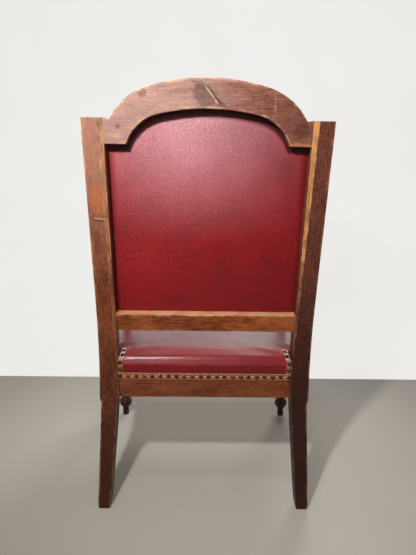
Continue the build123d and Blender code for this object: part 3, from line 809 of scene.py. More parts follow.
BACK = BackPlane()
STILE_INNER = 262.0
STILE_OUTER = 315.0
BLOCK_INNER = 257.0
BLOCK_REAR = 231.57
BLOCK_FRONT = 183.57
POST_REAR = -223.43
RAIL_FOOT = 316.0
RAIL_TOP = 392.0
RAIL_THICK = 26.0
SIDE_SPLAY = 0.10565
LOWER_FOOT = 527.5
LOWER_TOP = 578.5
CREST_FOOT = 1044.0
STILE_TOP = 1104.0
INNER_ARCH = Arch(207.8, 86.5, 560.0, 13.0)
OUTER_ARCH = Arch(245.5, 95.31, 540.0, 16.0)


# Wooden frame


@dataclass
class Stile:
    """A back stile and its rear leg, sawn from one plank."""

    side: int
    finish: Material
    arris: float = 2.0
    rake_start: float = 430.0
    rake_full: float = 620.0
    unbend: float = 545.9
    front_bend: float = 440.0
    leg_bend: float = 230.0
    sweep: float = radians(14.0)
    setback: float = 6.0
    depth: float = 42.0
    foot_depth: float = 34.0
    foot_width: float = 36.0
    belly: float = 7.0
    shoulder: float = 4.0
    shoulder_run: float = 10.0
    chamfer: tuple[float, float] = (13.0, 6.0)
    chamfer_from: float = 505.0
    chamfer_full: float = 1198.0
    chamfer_wear_and_highlight: float = 0.3

    def rear(self, z: float) -> float:
        """Place in depth of the rear face at a height."""
        if z >= self.rake_full:
            return BACK.line(z, -self.setback)
        if z >= self.rake_start:
            radius = (self.rake_full - self.rake_start) / sin(BACK.rake)
            return BLOCK_REAR + radius - sqrt(radius**2 - (z - self.rake_start) ** 2)
        run = self.rake_start - self.leg_bend
        radius = run / sin(self.sweep)
        if z >= self.leg_bend:
            return BLOCK_REAR + radius - sqrt(radius**2 - (self.rake_start - z) ** 2)
        return BLOCK_REAR + run * tan(self.sweep / 2) + (self.leg_bend - z) * tan(self.sweep)

    def front(self, z: float) -> float:
        """Place in depth of the front face at a height."""
        if z >= self.unbend:
            return BACK.line(z, self.depth - self.setback)
        if z >= self.front_bend:
            radius = (self.unbend - self.front_bend) / sin(BACK.rake)
            return BLOCK_FRONT + radius - sqrt(radius**2 - (z - self.front_bend) ** 2)
        low = RAIL_FOOT - self.shoulder_run
        if z >= low:
            return BLOCK_FRONT + self.shoulder * clamp((RAIL_FOOT - z) / self.shoulder_run)
        heel_front = self.rear(0) - self.foot_depth
        share = 1 - z / low
        top = BLOCK_FRONT + self.shoulder
        return top + (heel_front - top) * share - self.belly * (1 - (2 * share - 1) ** 2)

    def sides(self, z: float) -> tuple[float, float]:
        """Places of the inner and outer faces at a height."""
        low = RAIL_FOOT - self.shoulder_run
        if z < low:
            outer = STILE_OUTER - self.shoulder + 2.0 * (1 - z / low)
            inner = STILE_OUTER - self.shoulder + 2.0 - self.foot_width
            return inner + (BLOCK_INNER + 1.6 * self.shoulder - inner) * z / low, outer
        step = clamp((RAIL_FOOT - z) / self.shoulder_run)
        inner = BLOCK_INNER + (STILE_INNER - BLOCK_INNER) * clamp((z - 330) / 75)
        return inner + 1.6 * self.shoulder * step, STILE_OUTER - self.shoulder * step

    def section(self, z: float) -> Section:
        """The stile's section at a height, from above, with its chamfer and its wear."""
        inner, outer = self.sides(z)
        rear, front = self.rear(z), self.front(z)
        share = 0.0
        if z >= self.rake_full:
            share = 0.55 + 0.45 * (z - self.rake_full) / (self.chamfer_full - self.rake_full)
        elif z > self.chamfer_from:
            share = 0.3 + 0.25 * (z - self.chamfer_from) / (self.rake_full - self.chamfer_from)
        cut_x, cut_y = max(1.2, self.chamfer[0] * share), max(1.2, self.chamfer[1] * share)
        trim = {0.0: 5.0, 3.0: 1.6}.get(z, 0.0)
        wobble = 0.7 + 0.6 * abs(noise.noise(Vector((z / 37, self.side * 3.1, 0.4))))
        corners = [
            (outer - trim, rear - trim),
            (inner + cut_x + trim, rear - trim),
            (inner + trim, rear - cut_y - trim),
            (inner + trim, front + trim),
            (outer - trim, front + trim),
        ]
        points, wear = rounded(corners, [self.arris * wobble, 1.2 * wobble, 1.4 * wobble, 1.5, self.arris * wobble])
        if share:
            # points 7 to 15 are the chamfer and its two arrises
            shown = self.chamfer_wear_and_highlight * share**0.8 * clamp((z - 560) / 160)
            wear[7:16] = [max(w, shown) for w in wear[7:16]]
        return points, wear

    def lay(self, z: float, x: float, y: float) -> Vector:
        """A point of the section at a height, tilted square to the stile where that is raked."""
        tilt = clamp((z - self.rake_start) / (self.rake_full - self.rake_start))
        rise = (self.rear(z) - y) * sin(BACK.rake) * cos(BACK.rake) * tilt
        drop = (self.rear(z) - y) * sin(BACK.rake) ** 2 * tilt
        return at(self.side * x, y + drop, z + rise)

    def build(self) -> Object:
        """Build the stile.

        Returns:
            The dressed piece.
        """
        turns = (RAIL_FOOT - self.shoulder_run, RAIL_FOOT, self.front_bend, 450.0)
        turns += (self.chamfer_from, 515.0, self.unbend, self.rake_full)
        heights = [0.0, *even(3.0, STILE_TOP, 16.0, turns)]
        name = SIDES[self.side]
        sections = [self.section(z) for z in heights]
        piece = ring_solid(f"{name}_stile_wood", heights, sections, self.lay, 1.2, 0.3, self.side * 5.0)
        return dress(piece, self.finish, "oak", f"{name}_stile")


@dataclass
class CrestRail:
    """The arched top rail, cut from one wide board."""

    finish: Material
    depth: float = 36.0
    arris: float = 2.6
    steep: tuple[float, ...] = (245.5, 245.4, 240, 234, 227, 207.8, 207.7, 206, 203.5, 200, 196, 191)

    def build(self) -> Object:
        """Build the rail.

        Returns:
            The dressed piece.
        """
        stations = even(-STILE_INNER, STILE_INNER, 9.0, [s * x for x in self.steep for s in (1, -1)])
        sections = []
        for x in stations:
            foot, top = BACK.up(CREST_FOOT) + INNER_ARCH.over(x), BACK.up(STILE_TOP) + OUTER_ARCH.over(x)
            wobble = 0.65 + 0.9 * abs(noise.noise(Vector((x / 31, 7.7, 1.2))))
            corners = [(foot, 0.0), (top, 0.0), (top, self.depth), (foot, self.depth)]
            sections.append(rounded(corners, [self.arris * wobble, 2.4 * wobble, 2.0, 1.6], 6.0))
        piece = ring_solid("crest_rail_wood", stations, sections, BACK.point, 0.2, 0.35, 2.0)
        return dress(piece, self.finish, "oak", "crest_rail")


@dataclass
class StraightRail:
    """A straight rail between two places, with the same section all along."""

    node: str
    finish: Material
    corners: tuple[tuple[float, float], ...]
    stations: tuple[float, float]
    place: Callable[[float, float, float], Vector] = at
    radii: tuple[float, ...] = (2.0, 2.0, 2.0, 2.0)
    seed: float = 0.0
    bare: range = range(0)
    bare_wear_and_highlight: float = 1.62

    def build(self) -> Object:
        """Build the rail.

        Returns:
            The dressed piece.
        """
        stops = even(*self.stations, 14.0)
        sections = []
        for stop in stops:
            wobble = 0.65 + 0.8 * abs(noise.noise(Vector((stop / 29, self.seed, 3.3))))
            points, wear = rounded(self.corners, [r * wobble for r in self.radii])
            for number in self.bare:
                wear[number] = self.bare_wear_and_highlight
            sections.append((points, wear))
        piece = ring_solid(f"{self.node}_wood", stops, sections, self.place, 0.3, 0.3, self.seed)
        return dress(piece, self.finish, "oak", self.node)


@dataclass
class FrontPost:
    """A front post: turned foot, square block for the rails, turned arm support."""

    side: int
    finish: Material
    x: float = 332.0
    y: float = -251.43
    block: float = 56.0
    block_foot: float = 304.0
    block_top: float = 404.0
    ball_z: float = 57.0
    ball_radius: float = 25.5
    sides: int = 40

    def foot_profile(self) -> Profile:
        """Height, radius and wear down the turned foot, from the floor to the block."""
        points = [(0.0, 11.5, 0.4), (1.5, 12.8, 0.6), (7.0, 13.4, 0.7), (12.8, 12.8, 0.8), (14.0, 12.4, 0.3)]
        points += [(18.0, 12.1, 0.0), (26.0, 12.2, 0.0), (33.5, 12.9, 0.0)]
        for step in range(1, 15):
            angle = -64 + step * (64 + 58) / 15
            height = self.ball_z + self.ball_radius * sin(radians(angle))
            points.append((height, self.ball_radius * cos(radians(angle)), 0.9 if abs(angle) < 20 else 0.25))
        points += [(79.6, 13.8, 0.0), (84.0, 13.7, 0.0)]
        for step in range(15):
            share = step / 14
            radius = 13.8 + 11.3 * share**0.9 + 0.5 * sin(pi * share)
            points.append((84 + 134 * share, radius, 0.15 + 0.5 * share**4))
        points += [(226.0, 25.2, 0.6), (234.0, 24.0, 0.4), (240.0, 21.6, 0.2), (243.2, 19.6, 0.0), (244.6, 19.4, 0.0)]
        points += [(249.0, 22.6, 0.4), (251.5, 24.2, 0.8), (256.5, 25.0, 1.0), (261.5, 24.2, 0.8), (264.0, 22.6, 0.4)]
        points += [(269.0, 20.0, 0.0), (278.0, 18.4, 0.0), (287.0, 18.6, 0.0), (292.0, 19.2, 0.0)]
        points += [(293.0, 22.4, 0.5), (296.0, 23.6, 0.8), (302.0, 23.6, 0.6), (304.5, 23.4, 0.0)]
        return points

    def support_profile(self) -> Profile:
        """Height, radius and wear up the turned arm support, from the block to the arm."""
        points = [(403.5, 23.4, 0.0), (406.0, 23.8, 0.5), (412.0, 23.6, 0.8), (415.5, 22.8, 0.5), (416.5, 18.4, 0.0)]
        points += [(424.0, 16.8, 0.0), (434.0, 16.2, 0.0), (439.0, 16.6, 0.0), (441.0, 19.6, 0.3), (444.0, 21.6, 0.8)]
        points += [(450.0, 22.6, 1.0), (455.0, 21.6, 0.8), (457.5, 18.6, 0.2), (459.4, 16.9, 0.0)]
        for step in range(1, 13):
            share = step / 12
            points.append((459.4 + 51 * share, 16.9 + 7.2 * share + 2.0 * sin(pi * share), 0.2 + 0.6 * share**3))
        for step in range(1, 15):
            share = step / 14
            points.append((510.4 + 92 * share, 24.1 - 10.2 * share - 1.7 * sin(pi * share), 0.5 * (1 - share)))
        points += [(606.0, 14.6, 0.3), (610.0, 16.8, 0.8), (614.0, 17.0, 0.8), (617.0, 15.2, 0.2), (620.0, 16.6, 0.1)]
        points += [(623.5, 19.4, 0.6), (628.0, 20.0, 0.8), (634.0, 20.0, 0.4), (651.0, 12.0, 0.0)]
        return points

    def lay(self, z: float, x: float, y: float) -> Vector:
        """A point at a height and a place beside the post's axis."""
        return at(self.side * self.x + x, self.y + y, z)

    def turned(self, name: str, profile: Profile) -> Object:
        """A closed turned solid from its profile, from the bottom up."""
        turns = [2 * pi * step / self.sides for step in range(self.sides)]
        verts = [self.lay(z, radius * cos(t), radius * sin(t)) for z, radius, _ in profile for t in turns]
        faces = grid_faces(len(profile), self.sides, closed=True)
        faces += [range(self.sides)[::-1], range(len(verts) - self.sides, len(verts))]
        piece = new_piece(name, verts, faces)
        carry(piece, "wear", [exposed for _, _, exposed in profile for _ in turns])
        return piece

    def build(self) -> Object:
        """Build the post.

        Returns:
            The dressed piece.
        """
        name = SIDES[self.side]
        levels = [self.block_foot, *even(self.block_foot + 2, self.block_top - 2, 12.0), self.block_top]
        sections = []
        for z in levels:
            reach = self.block / 2 - (2.0 if z in (self.block_foot, self.block_top) else 0.0)
            sections.append(rounded([(reach, reach), (-reach, reach), (-reach, -reach), (reach, -reach)], [3.0] * 4))
        piece = ring_solid(f"{name}_front_post_wood", levels, sections, self.lay, 1.0, 0.2, self.side * 2.0)
        turnings = [
            self.turned("turned_foot", self.foot_profile()), self.turned("turned_support", self.support_profile())
        ]
        join_into(piece, turnings)
        outward(piece)
        smooth(piece)
        return dress(piece, self.finish, "oak", f"{name}_front_post")


@dataclass
class Arm:
    """A shaped arm that ends in a carved scroll over its front post."""

    side: int
    finish: Material
    scroll_y: float = -310.0
    scroll_z: float = 638.0
    scroll_radius: float = 28.0
    scroll_turn: float = radians(400)
    thick: float = 32.0
    rear_thick: float = 36.0
    rear_top: float = 680.0
    sag: float = 13.0
    stile_front: float = 36.0
    straight_cuts: int = 34
    scroll_cuts: int = 22
    arris: float = 7.0

    def spine(self) -> list[tuple[float, ...]]:
        """Stations along the arm: its top point, its bottom point, and its middle in x and width there."""
        stations = []
        rear_low = self.rear_top - self.rear_thick
        rear_y, rear_foot_y = BACK.line(self.rear_top, self.stile_front), BACK.line(rear_low, self.stile_front)
        top_end = self.scroll_z + self.scroll_radius
        for step in range(self.straight_cuts + 1):
            share = step / self.straight_cuts
            sag = self.sag * (4 * share * (1 - share))
            y = rear_y + (self.scroll_y - rear_y) * share
            top = self.rear_top + (top_end - self.rear_top) * share - sag
            foot_y = rear_foot_y + (self.scroll_y - rear_foot_y) * share
            low = rear_low + (top_end - self.thick - rear_low) * share - sag
            stations.append((y, top, foot_y, low, *self.plan(y)))
        for step in range(1, self.scroll_cuts + 1):
            angle = radians(step * 400 / self.scroll_cuts)
            outer = self.scroll_radius * (1 - 0.42 * max(0.0, angle - radians(120)) / radians(280))
            inner = max(3.0, outer - self.thick * (1 - angle / self.scroll_turn) ** 0.9 * 0.8 - 6)
            inner = min(inner, outer - 4.5)
            if angle < radians(95):
                # the scroll's first quarter still has the arm's full thickness
                flat = self.scroll_radius - self.thick
                inner = flat + (inner - flat) * (angle / radians(95))
            y, z = self.scroll_y - outer * sin(angle), self.scroll_z + outer * cos(angle)
            inner_y, inner_z = self.scroll_y - inner * sin(angle), self.scroll_z + inner * cos(angle)
            middle, width = self.plan(max(y, self.scroll_y - self.scroll_radius))
            stations.append((y, z, inner_y, inner_z, middle, width * (1 - 0.03 * step / self.scroll_cuts)))
        return stations

    def plan(self, y: float) -> tuple[float, float]:
        """Middle and width of the arm in plan at a depth."""
        rear_y, front_y = 222.0, -230.0
        share = clamp((rear_y - y) / (rear_y - front_y))
        bow = 4 * share * (1 - share)
        outer = 313.0 + (363.0 - 313.0) * share + (354.5 - 338.0) * bow
        inner = 285.5 + (301.0 - 285.5) * share + (310.0 - 293.3) * bow
        return (outer + inner) / 2, outer - inner

    def section(self, width: float) -> Section:
        """A section of a width: places across it, and shares of the way from the underside to the top."""
        edge = self.arris / (width / 2)
        turn = ((1 - edge * 1.5, 0.0, 0.1), (1 - edge * 0.55, 0.03, 0.7), (1 - edge * 0.1, 0.35, 1.0), (1.0, 1.0, 0.5))
        points, wear = [], []
        for across, up, cuts in ((1, 1, turn[::-1]), (-1, 1, turn), (-1, 0, turn[::-1]), (1, 0, turn)):
            for share_x, share_up, exposed in cuts:
                points.append((across * width / 2 * share_x, up - 0.24 * share_up if up else 0.14 * share_up))
                wear.append(exposed)
        return points, wear

    def lay(self, station: Sequence[float], across: float, share: float) -> Vector:
        """A point of the section at a station of the arm."""
        y, z, foot_y, foot_z, middle, _ = station
        return at(self.side * (middle + across), foot_y + (y - foot_y) * share, foot_z + (z - foot_z) * share)

    def build(self) -> Object:
        """Build the arm.

        Returns:
            The dressed piece.
        """
        name, spine = SIDES[self.side], self.spine()
        sections = [self.section(station[-1]) for station in spine]
        piece = ring_solid(f"{name}_arm_wood", spine, sections, self.lay, 0.6, 0.25, self.side * 7.0)
        return dress(piece, self.finish, "oak", f"{name}_arm")


# Upholstery


def crown_share(distance: float, table: Sequence[tuple[float, float]]) -> float:
    """How much of its crown a stuffed form has risen at a distance in from its edge.

    Args:
        distance: share of the run over which it rises.
        table: rises and the distances at which they are reached.

    Returns:
        The rise, from 0 to 1.
    """
    for (low, start), (high, end) in zip(table, table[1:]):
        if distance <= end:
            return low + (high - low) * max(0.0, distance - start) / max(1e-6, end - start)
    return 1.0


def spot(vert: bmesh.types.BMVert) -> tuple[float, ...]:
    """A point's place, to sort by."""
    return tuple(vert.co)


def inflate(piece: Object, pinned: Sequence[int], pressure: float, cap: float, frames: int = 20) -> None:
    """Swell a stuffed piece by cloth simulation, with a limit on how far any point moves.

    Args:
        piece: the mesh object.
        pinned: numbers of the points that stay where they are.
        pressure: the air pressure.
        cap: the most that a point may move, in millimetres.
        frames: how many frames are run.
    """
    before = [v.co.copy() for v in piece.data.vertices]
    piece.vertex_groups.new(name="pinned").add(pinned, 1.0, "REPLACE")
    modifier = piece.modifiers.new("swell", "CLOTH")
    cloth = modifier.settings
    cloth.use_pressure = True
    cloth.uniform_pressure_force = pressure
    cloth.effector_weights.gravity = 0
    cloth.vertex_group_mass = "pinned"
    cloth.quality = 6
    cloth.tension_stiffness = cloth.compression_stiffness = 12
    cloth.bending_stiffness = 1.2
    modifier.collision_settings.use_collision = False
    modifier.point_cache.frame_start, modifier.point_cache.frame_end = 1, frames
    for frame in range(1, frames + 1):
        bpy.context.scene.frame_set(frame)
    settle(piece)
    piece.vertex_groups.clear()
    for vert, start in zip(piece.data.vertices, before):
        move = vert.co - start
        if move.length > cap * MM:
            vert.co = start + move.normalized() * cap * MM
    bpy.context.scene.frame_set(1)


@dataclass
class Seat:
    """The stuffed seat and its leather, drawn down over the rails between the legs."""

    finish: Material
    rear: float = 225.57
    front: float = -273.4
    rear_x: float = 311.0
    front_x: float = 354.0
    notch_rear: float = 183.0
    notch_front: float = -222.9
    notch_reach: float = 60.0
    post_inner: float = 303.5
    block_inner: float = 261.3
    wall_top: float = 431.0
    drops: tuple[float, ...] = (8.0, 8.0, 8.0, 8.0, 6.0, 6.0, 7.0)
    crown: float = 24.5
    draw_in: float = 112.0
    step: float = 8.5
    side_cells: int = 5
    hide: float = 2.0
    painted_shade_top: float = 428.0
    rises: tuple[tuple[float, float], ...] = (
        (0.0, 0.0),
        (0.31, 0.02),
        (0.57, 0.055),
        (0.72, 0.107),
        (0.83, 0.2),
        (0.92, 0.36),
        (0.97, 0.6),
        (1.0, 1.0),
    )
    roll: tuple[float, ...] = (0.0, 2.4, 6.0, 11.0, 18.0, 28.0)

    def side_x(self, y: float) -> float:
        """How far out the leather's side lies at a depth."""
        slope = (self.rear_x - self.front_x) / (BLOCK_FRONT - POST_REAR)
        return self.rear_x + slope * (y - BLOCK_FRONT)

    def height(self, x: float, y: float) -> float:
        """Height of the seat's top at a place in plan."""
        x = abs(x)
        edge = min(self.rear - y, y - self.front, (self.side_x(y) - x) * 0.995)
        rise = crown_share(edge / self.draw_in, self.rises)
        gaps = [99.0]
        if y > self.notch_rear - self.notch_reach:
            gaps.append(hypot(max(0.0, self.block_inner - x), max(0.0, self.notch_rear - y)))
        if y < self.notch_front + self.notch_reach:
            gaps.append(hypot(max(0.0, self.post_inner - x), max(0.0, y - self.notch_front)))
        rise = min(rise, crown_share(min(gaps) / 46, self.rises) * 0.98 + 0.02)
        return self.wall_top + self.crown * rise

    def grid(self) -> list[list[Vector]]:
        """Points of the seat's top in rows and columns."""
        length = self.notch_rear - self.notch_front
        count, middle = round(length / self.step), round(2 * self.block_inner / self.step)
        rows = [self.rear - d for d in self.roll] + [self.notch_rear]
        rows += [self.notch_rear - length * i / count for i in range(1, count + 1)]
        rows += [self.front + d for d in reversed(self.roll)]
        share = (self.post_inner - self.block_inner) / (self.side_x(self.notch_front) - self.block_inner)
        counts = (self.side_cells, self.side_cells, middle, self.side_cells, self.side_cells)
        points = []
        for y in rows:
            limit = self.side_x(min(self.notch_rear, max(self.notch_front, y)))
            knee = self.block_inner + share * (limit - self.block_inner)
            marks = (-limit, -knee, -self.block_inner, self.block_inner, knee, limit)
            line = [a + (b - a) * i / n for a, b, n in zip(marks, marks[1:], counts) for i in range(n)]
            points.append([at(x, y, self.height(x, y)) for x in [*line, limit]])
        return points

    def covers(self, row: int, column: int, rows: int, columns: int) -> bool:
        """Whether a cell of the grid is seat, and not the room for a leg or a post."""
        edge = min(column, columns - 2 - column)
        if row < len(self.roll):
            return edge >= 2 * self.side_cells
        return edge >= self.side_cells or row < rows - 1 - len(self.roll)

    def cover(self) -> Object:
        """The cover as one skin: its top, and the wall drawn down round it."""
        points = self.grid()
        rows, columns = len(points), len(points[0])
        work = bmesh.new()
        grid = [[work.verts.new(p) for p in row] for row in points]
        for r in range(rows - 1):
            for c in range(columns - 1):
                if self.covers(r, c, rows, columns):
                    work.faces.new((grid[r][c], grid[r + 1][c], grid[r + 1][c + 1], grid[r][c + 1]))
        bmesh.ops.delete(work, geom=[v for v in work.verts if not v.link_faces], context="VERTS")
        rim = [e for e in work.edges if len(e.link_faces) == 1]
        for vert in {v for e in rim for v in e.verts}:
            vert.co.z = self.wall_top * MM
        for drop in self.drops:
            grown = bmesh.ops.extrude_edge_only(work, edges=rim)["geom"]
            for vert in (g for g in grown if isinstance(g, bmesh.types.BMVert)):
                vert.co.z -= drop * MM
            rim = [g for g in grown if isinstance(g, bmesh.types.BMEdge) and len(g.link_faces) == 1]
        bmesh.ops.recalc_face_normals(work, faces=work.faces)
        # the extruded points come in another order each run, so they are sorted
        points = sorted(work.verts, key=spot)
        number = {vert: i for i, vert in enumerate(points)}
        rings = [[number[v] for v in face.verts] for face in work.faces]
        starts = [ring.index(min(ring)) for ring in rings]
        faces = sorted((*ring[start:], *ring[:start]) for ring, start in zip(rings, starts))
        piece = new_piece("seat_cushion", [v.co.copy() for v in points], faces)
        work.free()
        if sum(p.normal.z * p.area for p in piece.data.polygons) < 0:
            piece.data.flip_normals()
        return piece

    def build(self) -> Object:
        """Build the seat.

        Returns:
            The dressed piece.
        """
        piece = self.cover()
        wall = [v.index for v in piece.data.vertices if v.co.z < (self.wall_top - 0.5) * MM]
        inflate(piece, wall, 2.0, 4.0)
        self.pucker(piece)
        modify(piece, "SOLIDIFY", thickness=self.hide * MM, offset=-1)
        modify(piece, "SUBSURF", levels=1, render_levels=1)
        smooth(piece, 60.0)
        # painted shade: the wall is darkened towards its foot, over the bands
        low = [0.5 * clamp((self.painted_shade_top - v.co.z / MM) / 42) ** 1.4 for v in piece.data.vertices]
        carry(piece, "painted_shade", low)
        dress(piece, self.finish, "red_leather", "seat_leather", "seat_stuffing")
        return piece

    def pucker(self, piece: Object) -> None:
        """Draw the leather in a little at each nail and slacken it unevenly between them."""
        for vert in piece.data.vertices:
            x, y, z = vert.co / MM
            if z < 430:
                pull = max(0.0, 1 - abs(z - 400) / 24) * 0.5 * cos(2 * pi * x / 24) if abs(y) > 180 else 0.0
                centre = Vector((vert.co.x, vert.co.y, 0)).normalized()
                vert.co -= centre * pull * MM
            vert.co.z += 0.5 * MM * jitter(vert.co, 0.06, 4.0)


def opening_outline(grow_out: float, draw_in: float = 0.0) -> list[tuple[float, float]]:
    """The outline of the opening inside the back frame, on the back's plane, anticlockwise from the arch's left end.

    Args:
        grow_out: how far it is grown outwards.
        draw_in: how far it is then drawn in towards its middle.

    Returns:
        Points across and up the slope, in millimetres.
    """
    low, base = BACK.up(LOWER_TOP) - grow_out, BACK.up(CREST_FOOT)
    side, half, top = STILE_INNER + grow_out, INNER_ARCH.half + grow_out * 0.95, base + grow_out
    arch = [half * sin(pi / 2 * (1 - 2 * index / 60)) for index in range(61)]
    points = [(x, max(top, base + INNER_ARCH.height(x, grow_out))) for x in arch]
    corners = ((-half, top), (-side, top), (-side, low), (side, low), (side, top), (half, top))
    points += [
        (a[0] + (b[0] - a[0]) * i / count, a[1] + (b[1] - a[1]) * i / count)
        for a, b, count in zip(corners, corners[1:], (5, 46, 52, 46, 5))
        for i in range(count)
    ][1:]
    middle = (low + base + INNER_ARCH.rise + grow_out) / 2
    narrow, shorten = 1 - draw_in / side, 1 - draw_in / (middle - low)
    return [(x * narrow, middle + (y - middle) * shorten) for x, y in points]


def on_back(loops: Sequence[tuple[Sequence[tuple[float, float]], float]]) -> list[Vector]:
    """Points of some outlines on the back, each at its own distance forward."""
    return [BACK.point(x, up, forward) for outline, forward in loops for x, up in outline]


@dataclass
class InsideBack:
    """The stuffed inside back, its leather and the flat flange nailed to the frame."""

    finish: Material
    start: float = 8.5
    flange: float = 22.0
    seat: float = 36.0
    crown: float = 49.0
    draw_in: float = 94.0
    voxel: float = 5.5
    rises: tuple[tuple[float, float], ...] = (
        (0.0, 0.0),
        (0.4, 0.02),
        (0.66, 0.13),
        (0.84, 0.33),
        (0.95, 0.62),
        (1.0, 1.0),
    )

    def ease(self, pad: Object) -> None:
        """Smooth the stuffing's top, so that no ridge runs from its corners."""
        work = bmesh.new()
        work.from_mesh(pad.data)
        rest = BACK.point(0, 0, self.seat + 9)
        top = [v for v in work.verts if (v.co - rest).dot(BACK.way()) > 0]
        for _ in range(26):
            bmesh.ops.smooth_vert(work, verts=top, factor=0.5, use_axis_x=True, use_axis_y=True, use_axis_z=True)
        work.to_mesh(pad.data)
        work.free()

    def stuffing(self) -> Object:
        """The closed crowned pad, before it swells."""
        rings = [(0.0, 0.0)]
        for index in range(1, 17):
            share = (index / 16) ** 1.5
            rings.append((share * self.draw_in, crown_share(share, self.rises)))
        side = STILE_INNER + self.start
        rings += [(self.draw_in + (side - self.draw_in) * i / 8, 1.0 + 0.02 * i / 8) for i in range(1, 8)]
        loops = [(opening_outline(self.start, draw), self.seat + 2 + self.crown * rise) for draw, rise in rings]
        verts = on_back(loops)
        size, base = len(loops[0][0]), len(verts)
        faces = grid_faces(len(rings), size, closed=True)
        faces.append(range(base - size, base))
        verts += on_back([(opening_outline(self.start), self.seat + 0.6)])
        faces += [(i, (i + 1) % size, base + (i + 1) % size, base + i) for i in range(size)]
        faces.append(range(base, base + size))
        return new_piece("inside_back_cushion", verts, faces)

    def build(self) -> Object:
        """Build the pad and its flange.

        Returns:
            The dressed piece.
        """
        pad = self.stuffing()
        outward(pad)
        modify(pad, "REMESH", mode="VOXEL", voxel_size=self.voxel * MM)
        self.ease(pad)
        rest = BACK.point(0, 0, self.seat + 3.5)
        inflate(pad, [v.index for v in pad.data.vertices if (v.co - rest).dot(BACK.way()) < 0], 2.6, 6.0)
        modify(pad, "SUBSURF", levels=1, render_levels=1)
        outer, inner = opening_outline(self.flange), opening_outline(self.start - 2)
        under, over = self.seat + 0.1, self.seat + 1.8
        verts = on_back([(outer, under), (outer, over), (inner, over), (inner, under)])
        flange = new_piece("flange", verts, grid_faces(4, len(outer), closed=True, looped=True))
        outward(flange)
        join_into(pad, [flange])
        smooth(pad)
        dress(pad, self.finish, "red_leather", "inside_back_leather", "back_stuffing")
        return pad


@dataclass
class OutsideBack:
    """The outside back: one hide stretched over the rebate inside the frame."""

    finish: Material
    forward: float = 28.0
    thick: float = 1.6
    rows: int = 66

    def painted_sheen(self, x: float, up: float, top: float) -> float:
        """How strongly a painted sheen lightens a place: most towards the top, a little right of the middle, and not at
        all close to its edges, where shadow falls.
        """
        rim = clamp((min(STILE_INNER - abs(x), top - up) - 9) / 14)
        return clamp((up - 800) / 360) ** 1.25 * (1 - 0.75 * min(1.0, abs(x - 45) / 260) ** 1.5) * rim

    def painted_shade(self, x: float, up: float, top: float) -> float:
        """How dark painted shade makes a place: the crest's shadow painted under it, the stiles' shadows painted beside
        them, and a dull painted shade low on one side.
        """
        under = 1 - clamp((top - up - 14.5) / 5)
        beside = 1 - clamp((STILE_INNER - abs(x) - 2) / 9)
        return max(under, 0.7 * beside, 0.22 * (clamp((900 - up) / 300) * clamp((200 - x) / 230)))

    def build(self) -> Object:
        """Build the sheet.

        Returns:
            The dressed piece.
        """
        low, base = BACK.up(LOWER_TOP), BACK.up(CREST_FOOT)
        columns = even(-STILE_INNER, STILE_INNER, 8.0, [s * INNER_ARCH.half for s in (1, -1)])
        verts, painted_sheen, painted_shade = [], [], []
        for x in columns:
            top = base + INNER_ARCH.over(x, 0.5)
            for row in range(self.rows + 1):
                up = low + (top - low) * row / self.rows
                painted_sheen.append(self.painted_sheen(x, up, top))
                painted_shade.append(self.painted_shade(x, up, top))
                slack = min(1.0, min(STILE_INNER - abs(x), up - low, top - up) / 60)
                spot = at(x, up, 0)
                wave = jitter(spot, 0.11, 3.0) * 0.9 + jitter(spot, 0.035, 8.0) * 0.3
                verts.append(BACK.point(x, up, self.forward + (wave + 0.6) * slack))
        faces = grid_faces(len(columns), self.rows + 1, turned=True)
        piece = new_piece("outside_back_hide", verts, faces)
        carry(piece, "painted_sheen", painted_sheen)
        carry(piece, "painted_shade", painted_shade)
        if piece.data.polygons[0].normal.dot(BACK.way()) > 0:
            piece.data.flip_normals()
        modify(piece, "SOLIDIFY", thickness=self.thick * MM, offset=-1)
        smooth(piece)
        dress(piece, self.finish, "red_leather", "outside_back_leather")
        strips = [(b - a) * (base - low + INNER_ARCH.over((a + b) / 2)) for a, b in zip(columns, columns[1:])]
        return piece


@dataclass
class Ribbon:
    """A flat band laid along a path, a little raised in its middle."""

    width: float = 19.0
    thick: float = 1.5
    profile: tuple[tuple[float, float], ...] = (
        (-0.5, 0.0), (-0.5, 0.75), (-0.42, 1.0), (0.0, 1.08), (0.42, 1.0), (0.5, 0.75), (0.5, 0.0),
    )

    def mesh(self, name: str, path: Sequence[Vector], normals: Sequence[Vector], painted_sheen: Sequence[float] = ()) -> Object:
        """Lay the band.

        Args:
            name: the piece's name.
            path: points along its middle on the surface under it, in metres.
            normals: the surface's normal at each point.
            painted_sheen: how strongly a painted highlight whitens it at each point, if anywhere.

        Returns:
            The closed mesh.
        """
        verts: list[Vector] = []
        count, size = len(path), len(self.profile)
        for i, (point, normal) in enumerate(zip(path, normals)):
            run = (path[min(count - 1, i + 1)] - path[max(0, i - 1)]).normalized()
            across = run.cross(normal).normalized()
            verts += [point + across * a * self.width * MM + normal * b * self.thick * MM for a, b in self.profile]
        faces = grid_faces(count, size, closed=True)
        faces += [range(size), range((count - 1) * size, count * size)]
        piece = new_piece(name, verts, faces)
        carry(piece, "painted_sheen", [value for value in painted_sheen or [0.0] * count for _ in self.profile])
        carry(piece, "edge", [min(1.0, 2.1 * abs(a)) if abs(a) > 0.2 else 0.0 for a, _ in self.profile] * count)
        outward(piece)
        return piece


